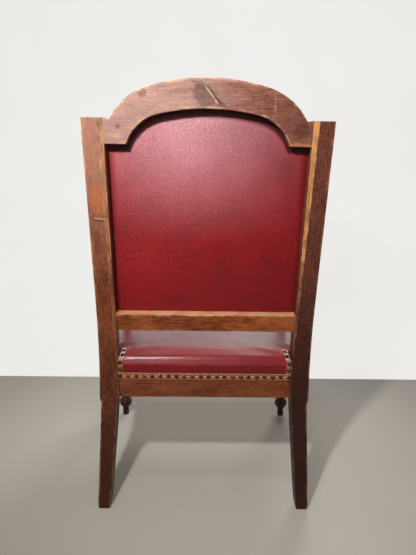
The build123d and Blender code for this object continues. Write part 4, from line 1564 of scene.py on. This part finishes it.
@dataclass
class DomeNails:
    """Rows of dome nails, made by one tree of geometry nodes."""

    finish: Material
    radius: float = 6.9
    height: float = 4.8
    sway: float = 0.12
    tree: NodeTree | None = field(default=None, init=False)

    def grow_tree(self) -> NodeTree:
        """Build the tree that sets a dome on each point, facing along the point's normal.

        Returns:
            The node tree, with inputs for the dome's radius, its height and how far it may lean.
        """
        tree = new_tree("dome_nails", {"Radius": self.radius * MM, "Height": self.height * MM, "Sway": self.sway})
        given = add_node(tree, "NodeGroupInput").outputs
        ball = {"Segments": 12, "Rings": 8, "Radius": given["Radius"]}
        flat = add_node(tree, MATH, {"operation": "DIVIDE"}, (given["Height"], given["Radius"]))
        size = add_node(tree, "ShaderNodeCombineXYZ", None, (1.0, 1.0, flat))
        ball = add_node(tree, "GeometryNodeMeshUVSphere", None, ball)
        dome = add_node(tree, "GeometryNodeTransform", None, {"Geometry": ball, "Scale": size})
        facing = add_node(tree, "GeometryNodeInputNamedAttribute", {"data_type": "FLOAT_VECTOR"}, ("facing",))
        lean = {0: (-1.0, -1.0, -1.0), 1: (1.0, 1.0, 1.0), "Seed": 11}
        lean = add_node(tree, "FunctionNodeRandomValue", {"data_type": "FLOAT_VECTOR"}, lean)
        lean = add_node(tree, VECTORS, {"operation": "SCALE"}, (lean, given["Sway"]))
        aim = add_node(tree, VECTORS, PLUS, (facing, lean))
        turn = add_node(tree, "FunctionNodeAlignRotationToVector", {"axis": "Z"}, {"Vector": aim})
        place = {"Points": given["Points"], "Instance": dome, "Rotation": turn}
        placed = add_node(tree, "GeometryNodeInstanceOnPoints", None, place)
        tone = add_node(tree, "FunctionNodeRandomValue", {"data_type": "FLOAT"}, {0: 0.0, 1: 1.0, "Seed": 5})
        kind = {"data_type": "FLOAT", "domain": "INSTANCE"}
        toned = {"Geometry": placed, "Name": "tone", "Value": tone}
        toned = add_node(tree, "GeometryNodeStoreNamedAttribute", kind, toned)
        real = add_node(tree, "GeometryNodeRealizeInstances", None, (toned,))
        shaded = add_node(tree, "GeometryNodeSetShadeSmooth", None, (real,))
        surface = {"Geometry": shaded, "Material": self.finish}
        add_node(tree, "NodeGroupOutput", None, (add_node(tree, "GeometryNodeSetMaterial", None, surface),))
        return tree

    def row(self, name: str, places: Sequence[tuple[Vector, Vector]], node: str) -> Object:
        """Set a row of nails.

        Args:
            name: the piece's name.
            places: each nail's place on the band, in metres, and the way it faces.
            node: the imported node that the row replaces.

        Returns:
            The dressed piece.
        """
        self.tree = self.tree or self.grow_tree()
        piece = new_piece(name, [place for place, _ in places], [])
        facing = piece.data.attributes.new("facing", "FLOAT_VECTOR", "POINT")
        facing.data.foreach_set("vector", [c for _, way in places for c in way])
        grow(piece, self.tree, {"Radius": self.radius * MM, "Height": self.height * MM})
        return dress(piece, self.finish, "nail_bronze", node)


@dataclass
class SeatTrim:
    """The bands along the foot of the seat's leather and up beside the legs, with their nails."""

    seat: Seat
    cushion: Object
    finish: Material
    nails: DomeNails
    width: float = 20.5
    skirt_foot: float = 374.5
    pitch: float = 24.0
    end_nail: float = 7.5
    splay: float = 0.1056
    turn_up_width: float = 15.0

    def build(self) -> list[Object]:
        """Build all four bands and their nails.

        Returns:
            The dressed pieces.
        """
        mesh = self.cushion.data
        tree = BVHTree.FromPolygons([v.co for v in mesh.vertices], [list(p.vertices) for p in mesh.polygons])
        made: list[Object] = []
        rear, front = self.seat.rear + 0.3, self.seat.front - 0.3
        rear_half, front_half = STILE_INNER - 0.7, self.seat.post_inner
        low_y, high_y = self.seat.notch_front, BLOCK_FRONT - 1
        low_x, high_x = self.seat.side_x(low_y), self.seat.side_x(high_y)
        runs = {
            "rear": ((rear_half, rear), (-rear_half, rear), (0, 1)),
            "front": ((-front_half, front), (front_half, front), (0, -1)),
            "left": ((low_x, low_y), (high_x, high_y), (1, self.splay)),
            "right": ((-high_x, high_y), (-low_x, low_y), (-1, self.splay)),
        }
        middle = self.skirt_foot + self.width / 2
        for name, ends in runs.items():
            start, end, way = [Vector((*place, 0)) for place in ends]
            way.normalize()
            along, length = (end - start).normalized(), (end - start).length
            steps, count = round(length / 8), round((length - 2 * self.end_nail) / self.pitch)
            path = [(start + along * length * i / steps + Vector((0, 0, middle))) * MM for i in range(steps + 1)]
            strip = Ribbon(self.width).mesh(f"{name}_seat_band", path, [way] * len(path))
            places = []
            for i in range(count + 1):
                shift = 1.6 * noise.noise(Vector((i * 1.37, length, 0.3))) if 0 < i < count else 0.0
                spot = start + along * (self.end_nail + (length - 2 * self.end_nail) * i / count + shift)
                spot += Vector((0, 0, middle + 1.1 * noise.noise(Vector((i * 1.91, 4.2, length)))))
                places.append(((spot + way * 1.2) * MM, way))
            for corner, inward in ((start, along), (end, -along)):
                middle_of_end = corner + inward * self.turn_up_width / 2
                turn_up, more = self.turn_up(tree, name == "rear", middle_of_end, inward, way)
                join_into(strip, [turn_up])
                places += more
            smooth(strip)
            made.append(dress(strip, self.finish, "trim", f"{name}_seat_trim"))
            made.append(self.nails.row(f"{name}_seat_dome_nails", places, f"{name}_seat_nails"))
        return made

    def turn_up(
        self, tree: BVHTree, over: bool, middle: Vector, inward: Vector, way: Vector
    ) -> tuple[Object, list[tuple[Vector, Vector]]]:
        """One end of a band, turned up beside a leg.

        Args:
            tree: the cushion's surface, for laying the band on it.
            over: whether it goes on over the roll, as at the rear.
            middle: the place of its middle in plan.
            inward: the way along the side, away from the leg.
            way: the way that the side faces.

        Returns:
            The strip, and the places of its nails with the ways that they face.
        """
        up = Vector((0, 0, 1))
        course = [
            (middle + up * z, way) for z in even(self.skirt_foot + self.width - 2, 428.0 if over else 422.0, 6.0)
        ]
        nails = [(middle + up * z + way * 4, way, 0.4) for z in ((406.0, 428.0) if over else (402.0, 419.0))]
        if over:
            for step in range(1, 10):
                angle = step / 9 * pi / 2
                spot = middle + up * 431 - way * 12 * (1 - cos(angle)) + up * (18 * sin(angle))
                course.append((spot, (way * cos(angle) + up * sin(angle)).normalized()))
            for step in range(1, 8):
                course.append((middle - way * (12 + 6 * step) + up * 452 + inward * 0.25 * step, up))
            nails += [(middle - way * back + up * 456 + inward, way, 0.0) for back in (7.0, 38.0)]
        path, normals = [], []
        for spot, normal in course:
            place, face, _, _ = tree.find_nearest(spot * MM)
            path.append(place + face * 0.3 * MM)
            normals.append((face * 0.6 + normal * 0.4).normalized())
        # painted highlight: the band is whitened where it turns over the roll
        painted_sheen = [clamp((spot.z - 438) / 9) if over else 0.0 for spot, _ in course]
        places = []
        for spot, normal, share in nails:
            place, face, _, _ = tree.find_nearest(spot * MM)
            if share:
                face = (face * (1 - share) + normal * share).normalized()
            places.append((place + face * 1.4 * MM, face))
        return Ribbon(self.turn_up_width).mesh("turn_up", path, normals, painted_sheen), places


@dataclass
class BackTrim:
    """The band round the inside back and its nails."""

    finish: Material
    nails: DomeNails
    width: float = 13.0
    middle: float = 15.25
    forward: float = 38.0
    thick: float = 1.2
    pitch: float = 24.0

    def build(self) -> list[Object]:
        """Build the band and its nails.

        Returns:
            The dressed pieces.
        """
        inner, line, outer = [opening_outline(self.middle + s * self.width / 2) for s in (-1, 0, 1)]
        size, edge = len(line), self.forward + self.thick
        loops = ((outer, self.forward), (outer, edge), (line, self.forward + 1.7), (inner, edge), (inner, self.forward))
        band = new_piece("back_band", on_back(loops), grid_faces(5, size, closed=True, looped=True))
        carry(band, "edge", [1.0] * (2 * size) + [0.0] * size + [1.0] * (2 * size))
        outward(band)
        smooth(band)
        dress(band, self.finish, "trim", "back_trim")
        points = on_back([(line, edge)])
        lengths = [0.0]
        for a, b in zip(points, points[1:] + points[:1]):
            lengths.append(lengths[-1] + (b - a).length)
        count = round(lengths[-1] / (self.pitch * MM))
        places = []
        for i in range(count):
            target = lengths[-1] * i / count
            k = max(j for j in range(size) if lengths[j] <= target)
            share = (target - lengths[k]) / max(1e-9, lengths[k + 1] - lengths[k])
            places.append((points[k].lerp(points[(k + 1) % size], share), BACK.way()))
        return [band, self.nails.row("back_dome_nails", places, "back_nails")]


@dataclass
class Webbing:
    """Interlaced straps and the hessian over them, made by one tree of geometry nodes."""

    straps: Material
    cloth: Material
    strap_width: float = 50.0
    strap_thick: float = 1.2
    cloth_thick: float = 0.8
    splay: float = 0.1056
    seat_reach: float = 303.0
    tree: NodeTree | None = field(default=None, init=False)

    def grow_tree(self) -> NodeTree:
        """Build the tree that lays straps side by side, each rising and dipping between its neighbours.

        Returns:
            The node tree, with inputs for the straps' sizes and spacing.
        """
        sizes = {"Length": 0.5, "Width": 0.05, "Cross pitch": 0.08, "Lift": 0.0011, "Phase": 0.0}
        tree = new_tree("woven_straps", sizes)
        given = add_node(tree, "NodeGroupInput").outputs
        strap = add_node(tree, "GeometryNodeMeshGrid", None, (given["Length"], given["Width"], 73, 5))
        placed = {"Points": given["Points"], "Instance": strap}
        placed = add_node(tree, "GeometryNodeInstanceOnPoints", None, placed)
        kind = {"data_type": "FLOAT", "domain": "INSTANCE"}
        numbered = {"Geometry": placed, "Name": "row", "Value": add_node(tree, "GeometryNodeInputIndex")}
        numbered = add_node(tree, "GeometryNodeStoreNamedAttribute", kind, numbered)
        real = add_node(tree, "GeometryNodeRealizeInstances", None, (numbered,))
        number = add_node(tree, "GeometryNodeInputNamedAttribute", {"data_type": "FLOAT"}, ("row",))
        split = add_node(tree, "ShaderNodeSeparateXYZ", None, (add_node(tree, "GeometryNodeInputPosition"),))
        turn = add_node(tree, MATH, {"operation": "DIVIDE"}, (split, given["Cross pitch"]))
        turn = add_node(tree, MATH, TIMES, (turn, pi))
        turn = add_node(tree, MATH, PLUS, (turn, add_node(tree, MATH, TIMES, (number, pi))))
        turn = add_node(tree, MATH, PLUS, (turn, given["Phase"]))
        wave = add_node(tree, MATH, {"operation": "COSINE"}, (turn,))
        lift = add_node(tree, MATH, TIMES, (wave, given["Lift"]))
        moved = {"Geometry": real, "Offset": add_node(tree, "ShaderNodeCombineXYZ", None, {2: lift})}
        surface = {"Geometry": add_node(tree, "GeometryNodeSetPosition", None, moved), "Material": self.straps}
        add_node(tree, "NodeGroupOutput", None, (add_node(tree, "GeometryNodeSetMaterial", None, surface),))
        return tree

    def layer(self, name: str, centres: Sequence[float], length: float, cross: float, phase: float) -> Object:
        """One layer of straps along X, centred on the origin in the XY plane.

        Args:
            name: the piece's name.
            centres: each strap's place across, in millimetres.
            length: their length.
            cross: spacing of the straps that they weave through.
            phase: where along the weave they start.

        Returns:
            The straps as a plain mesh.
        """
        self.tree = self.tree or self.grow_tree()
        sizes = {"Length": length * MM, "Width": self.strap_width * MM, "Cross pitch": cross * MM, "Phase": phase}
        return grow(new_piece(name, [at(0, c, 0) for c in centres], []), self.tree, sizes)

    def finish_straps(self, piece: Object, node: str) -> Object:
        """Thicken a layer of straps and dress it."""
        modify(piece, "SOLIDIFY", thickness=self.strap_thick * MM, offset=0)
        smooth(piece)
        return dress(piece, self.straps, "webbing", node)

    def seat(self) -> list[Object]:
        """The straps and hessian under the seat."""
        pitch = 2 * BLOCK_INNER / 6
        cross = (BLOCK_FRONT - POST_REAR) / 5
        along = self.layer("seat_long_straps", [pitch * (i - 2.5) for i in range(6)], 483.0, cross, 0.0)
        along.data.transform(Matrix.Translation(at(0, -23.9, 0)) @ Matrix.Rotation(pi / 2, 4, "Z"))
        across = []
        for i in range(5):
            y = (BLOCK_FRONT + POST_REAR) / 2 + cross * (i - 2)
            across.append(self.layer("cross", [y], 2 * self.reach(y), pitch, pi * i + pi / 2))
        join_into(along, across)
        along.data.transform(Matrix.Translation(at(0, 0, 393.6)))
        made = [self.finish_straps(along, "seat_webbing")]
        made.append(self.hessian("seat_hessian_cloth", "seat_hessian", *self.seat_cloth()))
        return made

    def reach(self, y: float) -> float:
        """Half length of a cross strap at a depth."""
        return self.seat_reach - self.splay * (y - BLOCK_FRONT)

    def seat_cloth(self) -> tuple[list[Vector], list[Sequence[int]]]:
        """Points and faces of the seat's hessian, cut out for the legs and the posts."""
        rows, cells = even(-265.4, 217.6, 12.0), 48
        verts = []
        for y in rows:
            half = self.reach(y) if -222 < y < 182 else (254.0 if y >= 182 else 301.0)
            for c in range(cells + 1):
                x = -half + 2 * half * c / cells
                verts.append(at(x, y, 396.2 + 0.4 * jitter(at(x, y, 0), 0.05, 1.0)))
        return verts, grid_faces(len(rows), cells + 1)

    def back_cloth(self, low: float, high: float) -> tuple[list[Vector], list[Sequence[int]]]:
        """Points and faces of the back's hessian, between two heights up the slope and into the arch."""
        cells = 40
        columns = even(-STILE_INNER - 6, STILE_INNER + 6, 13.0, (-INNER_ARCH.half, INNER_ARCH.half))
        verts = []
        for x in columns:
            top = high + INNER_ARCH.over(x, 5, 3.0)
            for r in range(cells + 1):
                up = low - 6 + (top - low + 6) * r / cells
                verts.append(BACK.point(x, up, 39.2 + 0.3 * jitter(at(x, up, 0), 0.05, 6.0)))
        return verts, grid_faces(len(columns), cells + 1, turned=True)

    def hessian(self, name: str, node: str, verts: list[Vector], faces: list[Sequence[int]]) -> Object:
        piece = new_piece(name, verts, faces)
        modify(piece, "SOLIDIFY", thickness=self.cloth_thick * MM)
        smooth(piece)
        dress(piece, self.cloth, "hessian", node)
        return piece

    def back(self) -> list[Object]:
        """The straps and hessian inside the back."""
        low, high = BACK.up(LOWER_TOP), BACK.up(CREST_FOOT)
        pitch, cross = 2 * (STILE_INNER + 6.5) / 4, (high - low) / 4
        upright = self.layer("back_straps", [pitch * (i - 1.5) for i in range(4)], high - low + 12, cross, 0.0)
        upright.data.transform(Matrix.Rotation(pi / 2, 4, "Z"))
        level = self.layer("level", [cross * (i - 1.5) for i in range(4)], 2 * STILE_INNER + 12, pitch, pi / 2)
        join_into(upright, [level])
        for vert in upright.data.vertices:
            x, up, rise = vert.co / MM
            vert.co = BACK.point(x, (low + high) / 2 + up, 37.3 + rise)
        made = [self.finish_straps(upright, "back_webbing")]
        made.append(self.hessian("back_hessian_cloth", "back_hessian", *self.back_cloth(low, high)))
        return made


# Surroundings


@dataclass(frozen=True)
class Studio:
    """A plain pale floor and backdrop, soft lamps and the camera."""

    camera_place: tuple[float, float, float] = (0.0099, 1.4073, 0.9131)
    pitch: float = 10.73
    yaw: float = -0.747
    roll: float = 0.85
    lens: float = 27.05
    white: float = 0.86
    pale: float = 0.5
    fill: float = 0.08
    reach: float = 6.0
    wall_y: float = -0.62
    wall_top: float = 5.0

    def sheet(self, name: str, corners: Sequence[tuple[float, float, float]], material: Material) -> Object:
        """One flat face of the surroundings."""
        piece = new_piece(name, [Vector(c) for c in corners], [(0, 1, 2, 3)])
        piece.data.materials.append(material)
        return piece

    def build(self) -> None:
        """Set up the floor, the backdrop, the lamps and the camera."""
        floor = PlainPaint("pale_matt_floor", "#DED7CB", "#D8D0C3", 0.07).build()
        wall = PlainPaint("pale_matt_wall", "#F6F5F3", "#F1F0ED", 0.9).build()
        far, back, top = self.reach, self.wall_y, self.wall_top
        self.sheet("floor", ((-far, -far, 0), (far, -far, 0), (far, far, 0), (-far, far, 0)), floor)
        corners = ((far, back, 0), (-far, back, 0), (-far, back, top), (far, back, top))
        backdrop = self.sheet("backdrop", corners, wall)
        backdrop.visible_shadow = backdrop.visible_diffuse = False
        self.lamp("key", (0.42, 1.24, 1.56), (0.08, 0.32, 0.98), 0.09, 5.6, 90)
        self.lamp("window", (0.2, 3.0, 1.15), (0.05, 0.35, 1.1), 0.8, 0.5, 60)
        self.lamp("sky", (0.15, 0.5, 2.9), (0.0, 0.0, 0.4), 0.9, 13.0, 180)
        self.lamp("front", (-0.7, -1.9, 2.0), (0.0, -0.05, 0.8), 1.1, 5.0, 70)
        self.sky()
        data = bpy.data.cameras.new("camera")
        data.lens, data.sensor_width, data.sensor_fit = self.lens, 36.0, "AUTO"
        camera = bpy.data.objects.new("camera", data)
        bpy.context.scene.collection.objects.link(camera)
        turn = Matrix.Rotation(pi + radians(self.yaw), 4, "Z") @ Matrix.Rotation(radians(90 - self.pitch), 4, "X")
        camera.matrix_world = Matrix.Translation(self.camera_place) @ turn @ Matrix.Rotation(radians(self.roll), 4, "Z")
        bpy.context.scene.camera = camera
        bpy.context.scene.view_settings.view_transform = "Standard"

    def sky(self) -> None:
        """Set up the world: pale where it is looked at or mirrored, and a faint fill otherwise."""
        world = bpy.data.worlds.new("studio")
        world.use_nodes = True
        tree = world.node_tree
        ray = add_node(tree, "ShaderNodeLightPath").outputs
        mirrored = add_node(tree, MATH, HIGHEST, (ray["Is Glossy Ray"], ray["Is Transmission Ray"]))
        mirrored = add_node(tree, MATH, TIMES, (mirrored, self.pale - self.fill))
        strength = add_node(tree, MATH, PLUS, (mirrored, self.fill))
        seen = add_node(tree, MATH, TIMES, (ray["Is Camera Ray"], self.white - self.fill))
        strength = add_node(tree, MATH, PLUS, (strength, seen))
        shade = tree.nodes["Background"]
        shade.inputs[0].default_value = srgb("#F2F0EC")
        tree.links.new(strength.outputs[0], shade.inputs[1])
        bpy.context.scene.world = world

    def lamp(
        self,
        name: str,
        place: tuple[float, float, float],
        aim: tuple[float, float, float],
        size: float,
        power: float,
        spread: float,
    ) -> None:
        """One soft lamp.

        Args:
            name: the lamp's name.
            place: where it stands, in metres.
            aim: the point that it faces.
            size: the side of its square face.
            power: its power in watts.
            spread: how wide its light opens, in degrees.
        """
        data = bpy.data.lights.new(name, "AREA")
        data.size, data.energy, data.spread = size, power, radians(spread)
        lamp = bpy.data.objects.new(name, data)
        bpy.context.scene.collection.objects.link(lamp)
        way = Vector(aim) - Vector(place)
        lamp.matrix_world = Matrix.Translation(place) @ way.to_track_quat("-Z", "Y").to_matrix().to_4x4()


def beside(side: int, y: float, inset: float, z: float) -> Vector:
    """A point of a side seat rail, from its depth, how far in from its outer face it lies, and its height."""
    return at(side * (309.0 - SIDE_SPLAY * (y - BLOCK_FRONT) - inset), y, z)


def oblong(low: float, high: float, foot: float, top: float) -> tuple[tuple[float, float], ...]:
    """The four corners of a rail's section."""
    return ((low, foot), (high, foot), (high, top), (low, top))


STILE_MARKS = (
    Mark(284, 856, 36, 3.6, -3, "#D8A47A", 0.7),
    Mark(286, 850, 42, 4, -4, "#3A1A10", 0.6),
    Mark(291, 905, 34, 90, 0, "#C0683A", 0.5),
    Mark(273, 1072, 5, 66, 2, "#4A2A20", 0.6),
    Mark(296, 790, 22, 70, 0, "#5A2A1C", 0.4),
    Mark(284, 690, 20, 60, 0, "#4A2014", 0.4),
)
CREST_MARKS = (
    Mark(10, 1157, 74, 52, -40, "#4A3832", 0.58),
    Mark(22, 1183, 56, 22, -30, "#4E3C34", 0.42),
    Mark(-30, 1136, 30, 26, -40, "#3A2A24", 0.5),
    # painted shadow: the dark line along the gouge
    Mark(-17, 1153, 56, 8, -48, "#241814", 0.7),
    Mark(-4, 1164, 50, 4.6, -48, "#C8A284", 0.75),
    Mark(-19, 1145, 18, 4, -44, "#D8B08C", 0.5),
    Mark(162, 1162, 22, 26, -30, "#4A2A1E", 0.45),
    Mark(-163, 1140, 5, 44, 4, "#C89876", 0.4),
    Mark(-205, 1104, 90, 110, 20, "#6A382A", 0.45),
    Mark(-234, 1082, 46, 44, 0, "#3E1E14", 0.4),
    Mark(-232, 1048, 60, 12, 0, "#C8824A", 0.6),
    Mark(-150, 1150, 60, 18, -25, "#6A3A2A", 0.35),
    Mark(236, 1064, 44, 12, -5, "#C88E66", 0.4),
    Mark(226, 1086, 14, 14, 0, "#3A1C12", 0.5),
    Mark(60, 1168, 90, 16, 6, "#6E4436", 0.35),
)


@dataclass
class Chair:
    """The whole chair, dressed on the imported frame."""

    nodes: dict[str, Object]

    def back_wood(self) -> None:
        """Build the stiles, the crest rail and the lower back rail."""
        tones = ("#4A2012", "#88452A", "#AC623C", "#DCA26C")
        upright = OldOak(
            "old_oak_upright", Grain.ALONG_Z, *tones, 0.7, dim_below=0.74, dim_from=0.15, pale_above=0.4,
            marks=STILE_MARKS,
        )
        tones = ("#401E18", "#783E30", "#985840", "#D29258")
        # painted shade: the right stile gets a darker copy of the upright oak, as it lies away from the light
        shaded_upright = OldOak(
            "old_oak_upright_shaded", Grain.ALONG_Z, *tones, 0.65, dim_below=1.0, dim_from=0.3, dim=0.88, glow=0.35
        )
        tones = ("#5A3024", "#905A4A", "#B67E68", "#E2B088")
        board = OldOak(
            "old_oak_crest", Grain.ALONG_X, *tones, 0.85, haze=0.19, fineness=1.5, flecks=0.12, marks=CREST_MARKS
        )
        level = OldOak("old_oak_rail", Grain.ALONG_X, "#3E170A", "#91421E", "#C06A34", "#D09C72", 0.8, glow=0.8)
        Stile(1, upright.build(), chamfer_wear_and_highlight=0.7).build()
        # the right stile's chamfer, which faces the light, is worn and also painted pale as a highlight
        Stile(-1, shaded_upright.build(), chamfer_wear_and_highlight=1.8).build()
        CrestRail(board.build()).build()
        low, high = BACK.up(LOWER_FOOT), BACK.up(LOWER_TOP)
        # the lower rail's top face is worn bare, and painted paler still as a highlight where light falls on it from
        # above
        StraightRail(
            "lower_back_rail", level.build(), ((low, 0.0), (high, 0.0), (high, 36.0), (low, 36.0)),
            (-STILE_INNER, STILE_INNER), BACK.point, (2.2, 2.8, 2.0, 2.0), 4.0, range(9, 14),
        ).build()

    def seat_wood(self) -> None:
        """Build the seat rails, the front posts and the arms, and give the corner blocks their finish."""
        low = OldOak("old_oak_seat_rail", Grain.ALONG_X, "#4C2012", "#8C4628", "#A85F38", "#C88C5A", 0.5).build()
        side_oak = OldOak("old_oak_side_rail", Grain.ALONG_Y, "#4C2214", "#86462C", "#A4623F", "#C08A5C", 0.5).build()
        tones = ("#36160E", "#602C1A", "#7C4026", "#A87048")
        turned = OldOak("old_oak_turned", Grain.ALONG_Z, *tones, 0.5, dim_below=0.7, glow=0.3, flecks=0.15).build()
        for name, outer, half, seed in (("rear", 223.57, STILE_INNER, 5.0), ("front", -245.43, 304.0, 6.0)):
            section = oblong(outer - RAIL_THICK, outer, RAIL_FOOT, RAIL_TOP)
            StraightRail(f"{name}_seat_rail", low, section, (-half, half), seed=seed).build()
        section = oblong(0.0, 26.2, RAIL_FOOT, RAIL_TOP)
        for side, name in SIDES.items():
            run = partial(beside, side)
            rail = StraightRail(f"{name}_seat_rail", side_oak, section, (POST_REAR, BLOCK_FRONT), run, seed=7.0 + side)
            rail.build()
            FrontPost(side, turned).build()
            Arm(side, side_oak).build()
        block = OldOak("glued_pine_block", Grain.ALONG_Z, "#8A6238", "#A87C4A", "#BC9360", "#C9A474").build()
        for name in ("left_rear", "right_rear", "left_front", "right_front"):
            node = self.nodes[f"{name}_corner_block"]
            node.data.materials.clear()
            node.data.materials.append(block)
            LOG.info("%s: material only", node.name)

    def upholstery(self) -> None:
        """Build the leather, its bands and nails, and what carries them."""
        outside = RedLeather("red_hide_outside_back", crease=0.5, polish=0.2)
        over = RedLeather("red_hide_seat", rough=0.42, crease=0.5, polish=0.75, sharpness=0.19, relief=0.3)
        inside = RedLeather("red_hide_inside_back", rough=0.44, crease=0.6, polish=0.3, sharpness=0.2, relief=0.5)
        OutsideBack(outside.build()).build()
        seat = Seat(over.build())
        cushion = seat.build()
        InsideBack(inside.build()).build()
        braid = WovenCloth("tan_braid", "#FFC36E", "#94502F", 2.2, 0.75, radians(38), "#B0624E").build()
        nails = DomeNails(AgedBronze("aged_bronze_nail").build())
        SeatTrim(seat, cushion, braid, nails).build()
        BackTrim(braid, nails).build()
        straps = WovenCloth("jute_webbing", "#CDB98F", "#8F7850", 2.4).build()
        cloth = WovenCloth("hessian_cloth", "#B79A68", "#7A6240", 2.0).build()
        webbing = Webbing(straps, cloth)
        webbing.seat()
        webbing.back()


def main() -> None:
    """Build the studio and the chair."""
    logging.basicConfig(level=logging.INFO, format="%(name)s: %(message)s")
    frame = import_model()
    Studio().build()
    chair = Chair(frame["nodes"])
    chair.back_wood()
    chair.seat_wood()
    chair.upholstery()


if __name__ == "__main__":
    main()
